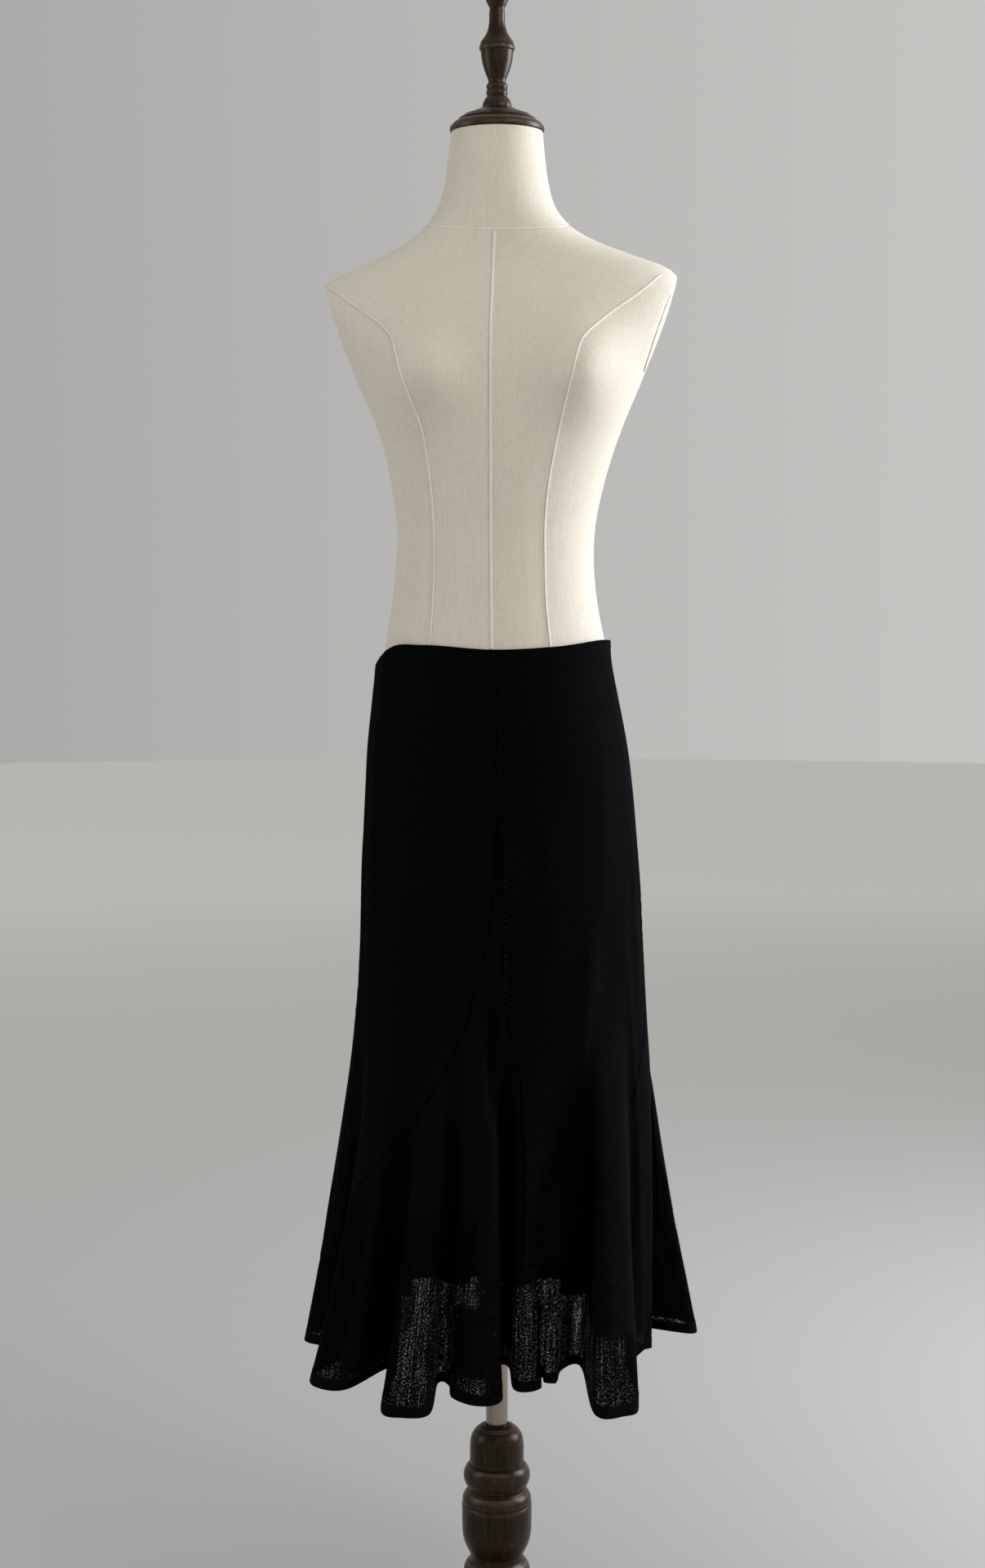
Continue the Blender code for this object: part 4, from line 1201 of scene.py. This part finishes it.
def turned(name, rows, step, bore):
    """A piece turned on the lathe: one ring, extruded and scaled up its profile."""
    rings = smooth_profile(rows, step)
    height, radius = rings[0]
    bpy.ops.mesh.primitive_circle_add(
        vertices=LATHE_SIDES, radius=radius, fill_type="NOTHING", location=(0, 0, height)
    )
    thing = bpy.context.object
    thing.name = name
    thing.data.name = name
    bpy.ops.object.transform_apply(location=True, rotation=True, scale=True)
    path = rings[1:]
    if bore is not None:
        path += [(rings[-1][0], bore), (rings[0][0], bore)]
    edit(thing)
    for next_height, next_radius in path:
        extrude_ring(next_height - height, next_radius / radius)
        height, radius = next_height, next_radius
    bpy.ops.mesh.select_all(action="DESELECT")
    bpy.ops.mesh.select_non_manifold()
    if bore is None:
        bpy.ops.mesh.fill_holes(sides=0)
        close_holes()
    else:
        bpy.ops.mesh.bridge_edge_loops()
    leave_edit()
    soft = thing.modifiers.new("worn edges", "BEVEL")
    soft.width = LATHE_BEVEL
    soft.segments = 2
    soft.limit_method = "ANGLE"
    soft.angle_limit = LATHE_BEVEL_ANGLE
    bpy.ops.object.modifier_apply(modifier="worn edges")
    return smoothed(thing, LATHE_SMOOTHING)


def mark_wear_and_highlight(thing):
    """Gives each corner how far it stands out from the profile around it: the mask for
    the wood's paler ridges, partly rubbed wear and partly a painted highlight.
    """
    count = len(thing.data.vertices)
    places = np.zeros(count * 3)
    thing.data.vertices.foreach_get("co", places)
    places = places.reshape(-1, 3)
    radius, height = from_axis(places), places[:, 2]
    order = np.argsort(height)
    wear_and_highlight = np.zeros(count)
    for k in range(count):
        near = np.abs(height[order] - height[k]) < WEAR_AND_HIGHLIGHT_REACH
        wear_and_highlight[k] = radius[k] - radius[order][near].mean()
    wear_and_highlight = np.clip(wear_and_highlight / (WEAR_AND_HIGHLIGHT_FULL * WEAR_AND_HIGHLIGHT_REACH), 0.0, 1.0)
    values = thing.data.attributes.new("wear_and_highlight", "FLOAT", "POINT")
    values.data.foreach_set("value", wear_and_highlight.astype(np.float32))


def one_stitch():
    """A stitch: a short rounded bar along X."""
    bpy.ops.mesh.primitive_cylinder_add(
        vertices=STITCH_SIDES, radius=STITCH_WIDTH / 2, depth=STITCH_LENGTH,
        rotation=(0, math.pi / 2, 0),
    )
    thing = bpy.context.object
    thing.name = "stitch"
    bpy.ops.object.transform_apply(location=True, rotation=True, scale=True)
    soft = thing.modifiers.new("round", "BEVEL")
    soft.width = STITCH_WIDTH * STITCH_ROUNDING
    soft.segments = 1
    soft.limit_method = "ANGLE"
    bpy.ops.object.modifier_apply(modifier="round")
    bpy.ops.object.shade_smooth()
    return thing


def stitch_row(turns, nominals, lift, pitch=STITCH_PITCH):
    """Places and directions of stitches along a line on the skirt."""
    heights = dipped(turns, nominals)
    points = skirt_points(turns, heights)
    normals = skirt_normals(turns, heights)
    depth = crease_depth(turns, nominals, points) + waver(turns, nominals)
    points = points - normals * (depth + CLOTH_WALL / 2 - lift)[:, None]
    arcs = lengths_along(points)
    at = np.arange(pitch / 2, arcs[-1], pitch)

    def along(distances, values):
        return np.stack([np.interp(distances, arcs, row) for row in values.T], -1)

    place, ahead = along(at, points), along(at + STITCH_AHEAD, points)
    out = along(at, normals)
    return [(Vector(p), Vector(a - p), Vector(n)) for p, a, n in zip(place, ahead, out)]


def sew(name, places):
    """Copies of one stitch, each with its own mesh, joined as one piece."""
    model = one_stitch()
    copies = []
    for place, along, out in places:
        if along.length < LEAST_STEP:
            continue
        across = out.cross(along).normalized()
        along = along.normalized()
        turn = Matrix((along, across, along.cross(across))).transposed()
        copy = new_object(name, model.data.copy())
        copy.matrix_world = Matrix.Translation(place) @ turn.to_4x4()
        copies.append(copy)
    bpy.data.objects.remove(model, do_unlink=True)
    thing = joined(name, copies)
    bpy.ops.object.transform_apply(location=True, rotation=True, scale=True)
    return thing


def put(tree, value, entry):
    """Links a node's output to a socket, or sets the socket to a number or a colour."""
    if isinstance(value, bpy.types.NodeSocket):
        tree.links.new(value, entry)
    elif entry.type == "RGBA":
        entry.default_value = (*value, 1.0)
    else:
        entry.default_value = value


def made(tree, kind, output, entries=None, **settings):
    """A new node with its sockets set or linked. Gives one of its outputs."""
    fresh = tree.nodes.new(f"ShaderNode{kind}")
    for key, value in settings.items():
        setattr(fresh, key, value)
    for key, value in (entries or {}).items():
        put(tree, value, fresh.inputs[key])
    return fresh.outputs[output]


def maths(tree, operation, first, second):
    return made(tree, "Math", 0, {0: first, 1: second}, operation=operation)


def attribute(tree, name):
    return made(tree, "Attribute", "Fac", attribute_name=name)


def ramp(tree, value, start, end):
    """0 up to start, 1 from end on."""
    entries = {"Value": value, "From Min": start, "From Max": end}
    return made(tree, "MapRange", "Result", entries)


def noise(tree, place, pattern):
    spread = {"Vector": place, "Scale": pattern.cells}
    entries = {
        "Vector": made(tree, "Mapping", "Vector", spread), "Scale": 1.0,
        "Detail": pattern.detail, "Roughness": pattern.roughness,
    }
    return made(tree, "TexNoise", "Fac", entries)


def shared(tree, whole, part, share):
    """A sum of two patterns, the second with its share."""
    return maths(tree, "ADD", maths(tree, "MULTIPLY", part, share), whole)


def mixed(tree, share, first, second):
    """A colour between two others."""
    return made(tree, "Mix", 2, {0: share, 6: first, 7: second}, data_type="RGBA")


def bump(tree, shader, height, distance, strength):
    entries = {"Height": height, "Distance": distance, "Strength": strength}
    put(tree, made(tree, "Bump", "Normal", entries), shader.inputs["Normal"])


def new_material(name, **values):
    """A material with its shader's own sockets set."""
    material = bpy.data.materials.new(name)
    material.use_nodes = True
    shader = material.node_tree.nodes["Principled BSDF"]
    for key, value in values.items():
        shader.inputs[key.replace("_", " ")].default_value = value
    return material, material.node_tree, shader


def crepe():
    """Thin black crepe. Light comes through it as fine dots in upright streaks, except
    where the attribute "dense" says that the cloth lies double. The attribute "open"
    is high on the crests of folds and low in between, in creases and along seams, where
    painted shade darkens the colour and dulls the shine, as it does where the cloth is
    single."""
    material, tree, shader = new_material("black_crepe", Roughness=0.80, IOR=1.07)
    uv = made(tree, "UVMap", "UV", uv_map="cloth")
    streaks, drift = noise(tree, uv, CREPE_STREAKS), noise(tree, uv, CREPE_DRIFT)
    loose = shared(tree, noise(tree, uv, CREPE_DOTS), streaks, STREAKS_SHARE)
    loose = shared(tree, loose, drift, DRIFT_SHARE)
    clear = maths(tree, "MULTIPLY", ramp(tree, loose, *CLEAR_RANGE), CLEAR_MOST)
    single = maths(tree, "SUBTRACT", 1.0, attribute(tree, "dense"))
    clear = maths(tree, "MULTIPLY", maths(tree, "ADD", clear, CLEAR_LEAST), single)
    put(tree, maths(tree, "SUBTRACT", 1.0, clear), shader.inputs["Alpha"])
    grain = noise(tree, uv, CREPE_GRAIN)
    height = shared(tree, grain, noise(tree, uv, CREPE_RIBS), RIBS_SHARE)
    bump(tree, shader, height, *CREPE_RELIEF)
    tone = maths(tree, "ADD", noise(tree, uv, CREPE_NAP), grain)
    tone = ramp(tree, tone, *CREPE_TONES)
    colour = mixed(tree, tone, CREPE_DEEP, CREPE_PALE)
    # Painted shade: a darker colour and less shine where "open" is low and where the
    # cloth is single
    shaded = ramp(tree, attribute(tree, "open"), *FOLD_RANGE)
    shaded = maths(tree, "MULTIPLY", shaded, SHADE_IN_FOLDS)
    thin = maths(tree, "MULTIPLY", single, SHADE_WHERE_THIN)
    shaded = maths(tree, "MAXIMUM", shaded, thin)
    put(tree, mixed(tree, shaded, colour, CREPE_SHADED), shader.inputs["Base Color"])
    lit = maths(tree, "MULTIPLY", shaded, CREPE_SHINE_LOST)
    lit = maths(tree, "SUBTRACT", CREPE_SHINE, lit)
    put(tree, lit, shader.inputs["Specular IOR Level"])
    return material


def linen(name, light):
    """Slubbed linen, with its threads upright and level."""
    material, tree, shader = new_material(
        name, Roughness=0.86, Specular_IOR_Level=0.22, Sheen_Weight=0.08,
        Sheen_Roughness=0.5,
    )
    place = made(tree, "TexCoord", "Object")
    upright_threads = noise(tree, place, LINEN_UPRIGHT)
    weave = maths(tree, "ADD", upright_threads, noise(tree, place, LINEN_LEVEL))
    height = shared(tree, weave, noise(tree, place, LINEN_SLUBS), SLUBS_SHARE)
    bump(tree, shader, height, *LINEN_RELIEF)
    dark = tuple(channel * LINEN_DARKENING for channel in light)
    colour = mixed(tree, ramp(tree, height, *LINEN_TONES), dark, light)
    put(tree, colour, shader.inputs["Base Color"])
    return material


def wood():
    """Dark stained wood, paler bronze in blotches where the attribute "wear" is high, on
    the ridges of its profile: partly rubbed wear and partly a painted highlight.
    """
    material, tree, shader = new_material(
        "dark_wood", Specular_IOR_Level=0.25, Specular_Tint=WOOD_SHINE
    )
    place = made(tree, "TexCoord", "Object")
    grain, pores = noise(tree, place, WOOD_GRAIN), noise(tree, place, WOOD_PORES)
    rubbed = ramp(tree, noise(tree, place, WOOD_BLOTCHES), *RUBBED_RANGE)
    # Paler ridges: partly rubbed wear, partly a painted highlight
    worn_and_lit = maths(tree, "MULTIPLY", attribute(tree, "wear_and_highlight"), rubbed)
    base = mixed(tree, ramp(tree, grain, *WOOD_TONES), WOOD_DEEP, WOOD_BROWN)
    base = mixed(tree, ramp(tree, pores, *PORE_RANGE), base, WOOD_IN_PORES)
    put(tree, mixed(tree, worn_and_lit, base, WOOD_WORN_AND_LIT), shader.inputs["Base Color"])
    put(tree, ramp(tree, grain, *WOOD_DULLNESS), shader.inputs["Roughness"])
    bump(tree, shader, maths(tree, "ADD", grain, pores), *WOOD_RELIEF)
    return material


def metal():
    """Chrome, drawn lengthwise, so that it shines a little unevenly. Its darker, browner
    tone is a painted reflection of darker surroundings.
    """
    material, tree, shader = new_material("chrome", Base_Color=CHROME_PAINTED_REFLECTION_TONE, Metallic=1.0)
    streaks = noise(tree, made(tree, "TexCoord", "Object"), CHROME_STREAKS)
    put(tree, ramp(tree, streaks, *CHROME_DULLNESS), shader.inputs["Roughness"])
    return material


def thread(name, light):
    tone = (light, light, light * THREAD_BLUENESS, 1)
    return new_material(name, Base_Color=tone, Roughness=0.7, Specular_IOR_Level=0.12)[0]


def floor_material():
    """Plain and pale, and a little paler further off, where less light falls on it."""
    material, tree, shader = new_material(
        "pale_floor", Roughness=0.95, Specular_IOR_Level=0.0
    )
    place = made(tree, "TexCoord", "Object")
    away = made(tree, "VectorMath", "Value", {0: place}, operation="LENGTH")
    share = maths(tree, "POWER", ramp(tree, away, 0.0, FLOOR_PALE_AT), FLOOR_PALING)
    colour = mixed(tree, share, FLOOR_NEAR, FLOOR_FAR)
    put(tree, colour, shader.inputs["Base Color"])
    return material


BLACK, CREAM = crepe(), linen("cream_linen", LINEN_CREAM)
CORD_CREAM, DARK_WOOD = linen("cream_cord", CORD_PALE), wood()
CHROME = metal()
THREAD = thread("black_thread", THREAD_BLACK)
# Pale thread: a painted glint of light through needle holes
PAINTED_GLINT_THREAD = thread("painted_glint_thread", THREAD_GLINT)

PANELS = ("panel_front_right", "panel_back_right", "panel_back_left", "panel_front_left")
cloths = {}
for seam, name in enumerate(PANELS):
    cloths[name] = panel(name.replace("panel", "petal"), seam)
for seam, side in enumerate(SEAM_ORDER):
    cloths[f"godet_{side}"] = godet(f"flare_{side}", seam)
for name, thing in cloths.items():
    finish_piece(thing, "form", BLACK, [name])

top_turns = np.arange(-180, 180 + TOP_LINE_STEP, TOP_LINE_STEP)
top_heights = top_edge.at(top_turns) - TOP_STITCH_DROP
top_line = stitch_row(top_turns, top_heights, TOP_STITCH_LIFT)
hem_turns = np.arange(-180, 180 + HEM_LINE_STEP, HEM_LINE_STEP)
hem_heights = np.full(len(hem_turns), HEM + HEM_TURN_UP)
hem_line = stitch_row(hem_turns, hem_heights, HEM_STITCH_LIFT)
# Pale stitches by the front seam: a painted glint of light through its needle holes
pale_turns = np.linspace(*PALE_TURNS, PALE_POINTS)
pale_heights = np.linspace(*PALE_HEIGHTS, PALE_POINTS)
glint_line = stitch_row(pale_turns, pale_heights, PALE_STITCH_LIFT, PALE_PITCH)
finish_piece(sew("top_stitches", top_line), "form", THREAD)
finish_piece(sew("hem_stitches", hem_line), "form", THREAD)
finish_piece(sew("painted_glint_stitches", glint_line), "form", PAINTED_GLINT_THREAD)

form_cover, rims = torso()
finish_piece(form_cover, "form", CREAM, ["form_torso"])
finish_piece(neck(), "form", CREAM, ["form_neck"])
for side in ("left", "right"):
    plate = arm_plate(side, rims[side])
    finish_piece(plate, "form", CREAM, [f"arm_plate_{side}"])
neck_cord = tube("neck_cord", rims["neck"], CORD_RADIUS["neck"], closed=True)
all_cords = joined("form_cords", [cords(), neck_cord])
finish_piece(all_cords, "form", CORD_CREAM)

for row in TURNED:
    thing = turned(row.name, row.profile, row.step, row.bore)
    if row.body == "pole":
        finish_piece(thing, row.body, CHROME, [row.node])
    else:
        mark_wear_and_highlight(thing)
        finish_piece(thing, row.body, DARK_WOOD, [row.node])


def stage():
    """A plain pale floor."""
    bpy.ops.mesh.primitive_circle_add(
        vertices=FLOOR_SIDES, radius=FLOOR_RADIUS, fill_type="NGON"
    )
    floor = bpy.context.object
    floor.name = "floor"
    floor.data.materials.append(floor_material())


def light_stage():
    """Soft lamps, and a pale light from all round that is stronger towards +X."""
    for lamp in LAMPS:
        data = bpy.data.lights.new(lamp.name, "AREA")
        data.shape = "RECTANGLE"
        data.size = lamp.width
        data.size_y = lamp.height
        data.energy = lamp.power
        data.color = lamp.colour
        thing = new_object(lamp.name, data)
        thing.location = lamp.place
        aim = Vector(lamp.aim) - Vector(lamp.place)
        thing.rotation_euler = aim.to_track_quat("-Z", "Y").to_euler()
    world = bpy.data.worlds.new("studio")
    world.use_nodes = True
    tree = world.node_tree
    back = tree.nodes["Background"]
    back.inputs["Color"].default_value = AMBIENT_TONE
    across = made(tree, "SeparateXYZ", "X", {0: made(tree, "TexCoord", "Generated")})
    level = maths(tree, "MULTIPLY", across, AMBIENT_SLOPE)
    level = maths(tree, "ADD", level, AMBIENT_MIDDLE)
    level = maths(tree, "MAXIMUM", level, AMBIENT_LEAST)
    put(tree, maths(tree, "MINIMUM", level, AMBIENT_MOST), back.inputs["Strength"])
    bpy.context.scene.world = world


def camera():
    data = bpy.data.cameras.new("camera")
    data.lens = CAMERA_LENS
    data.sensor_width = CAMERA_SENSOR
    thing = new_object("camera", data)
    thing.location = CAMERA_PLACE
    thing.rotation_euler = (math.radians(90 - CAMERA_TILT), 0, 0)
    bpy.context.scene.camera = thing


stage()
light_stage()
camera()
bpy.context.scene.view_settings.view_transform = "Standard"
bpy.context.view_layer.update()
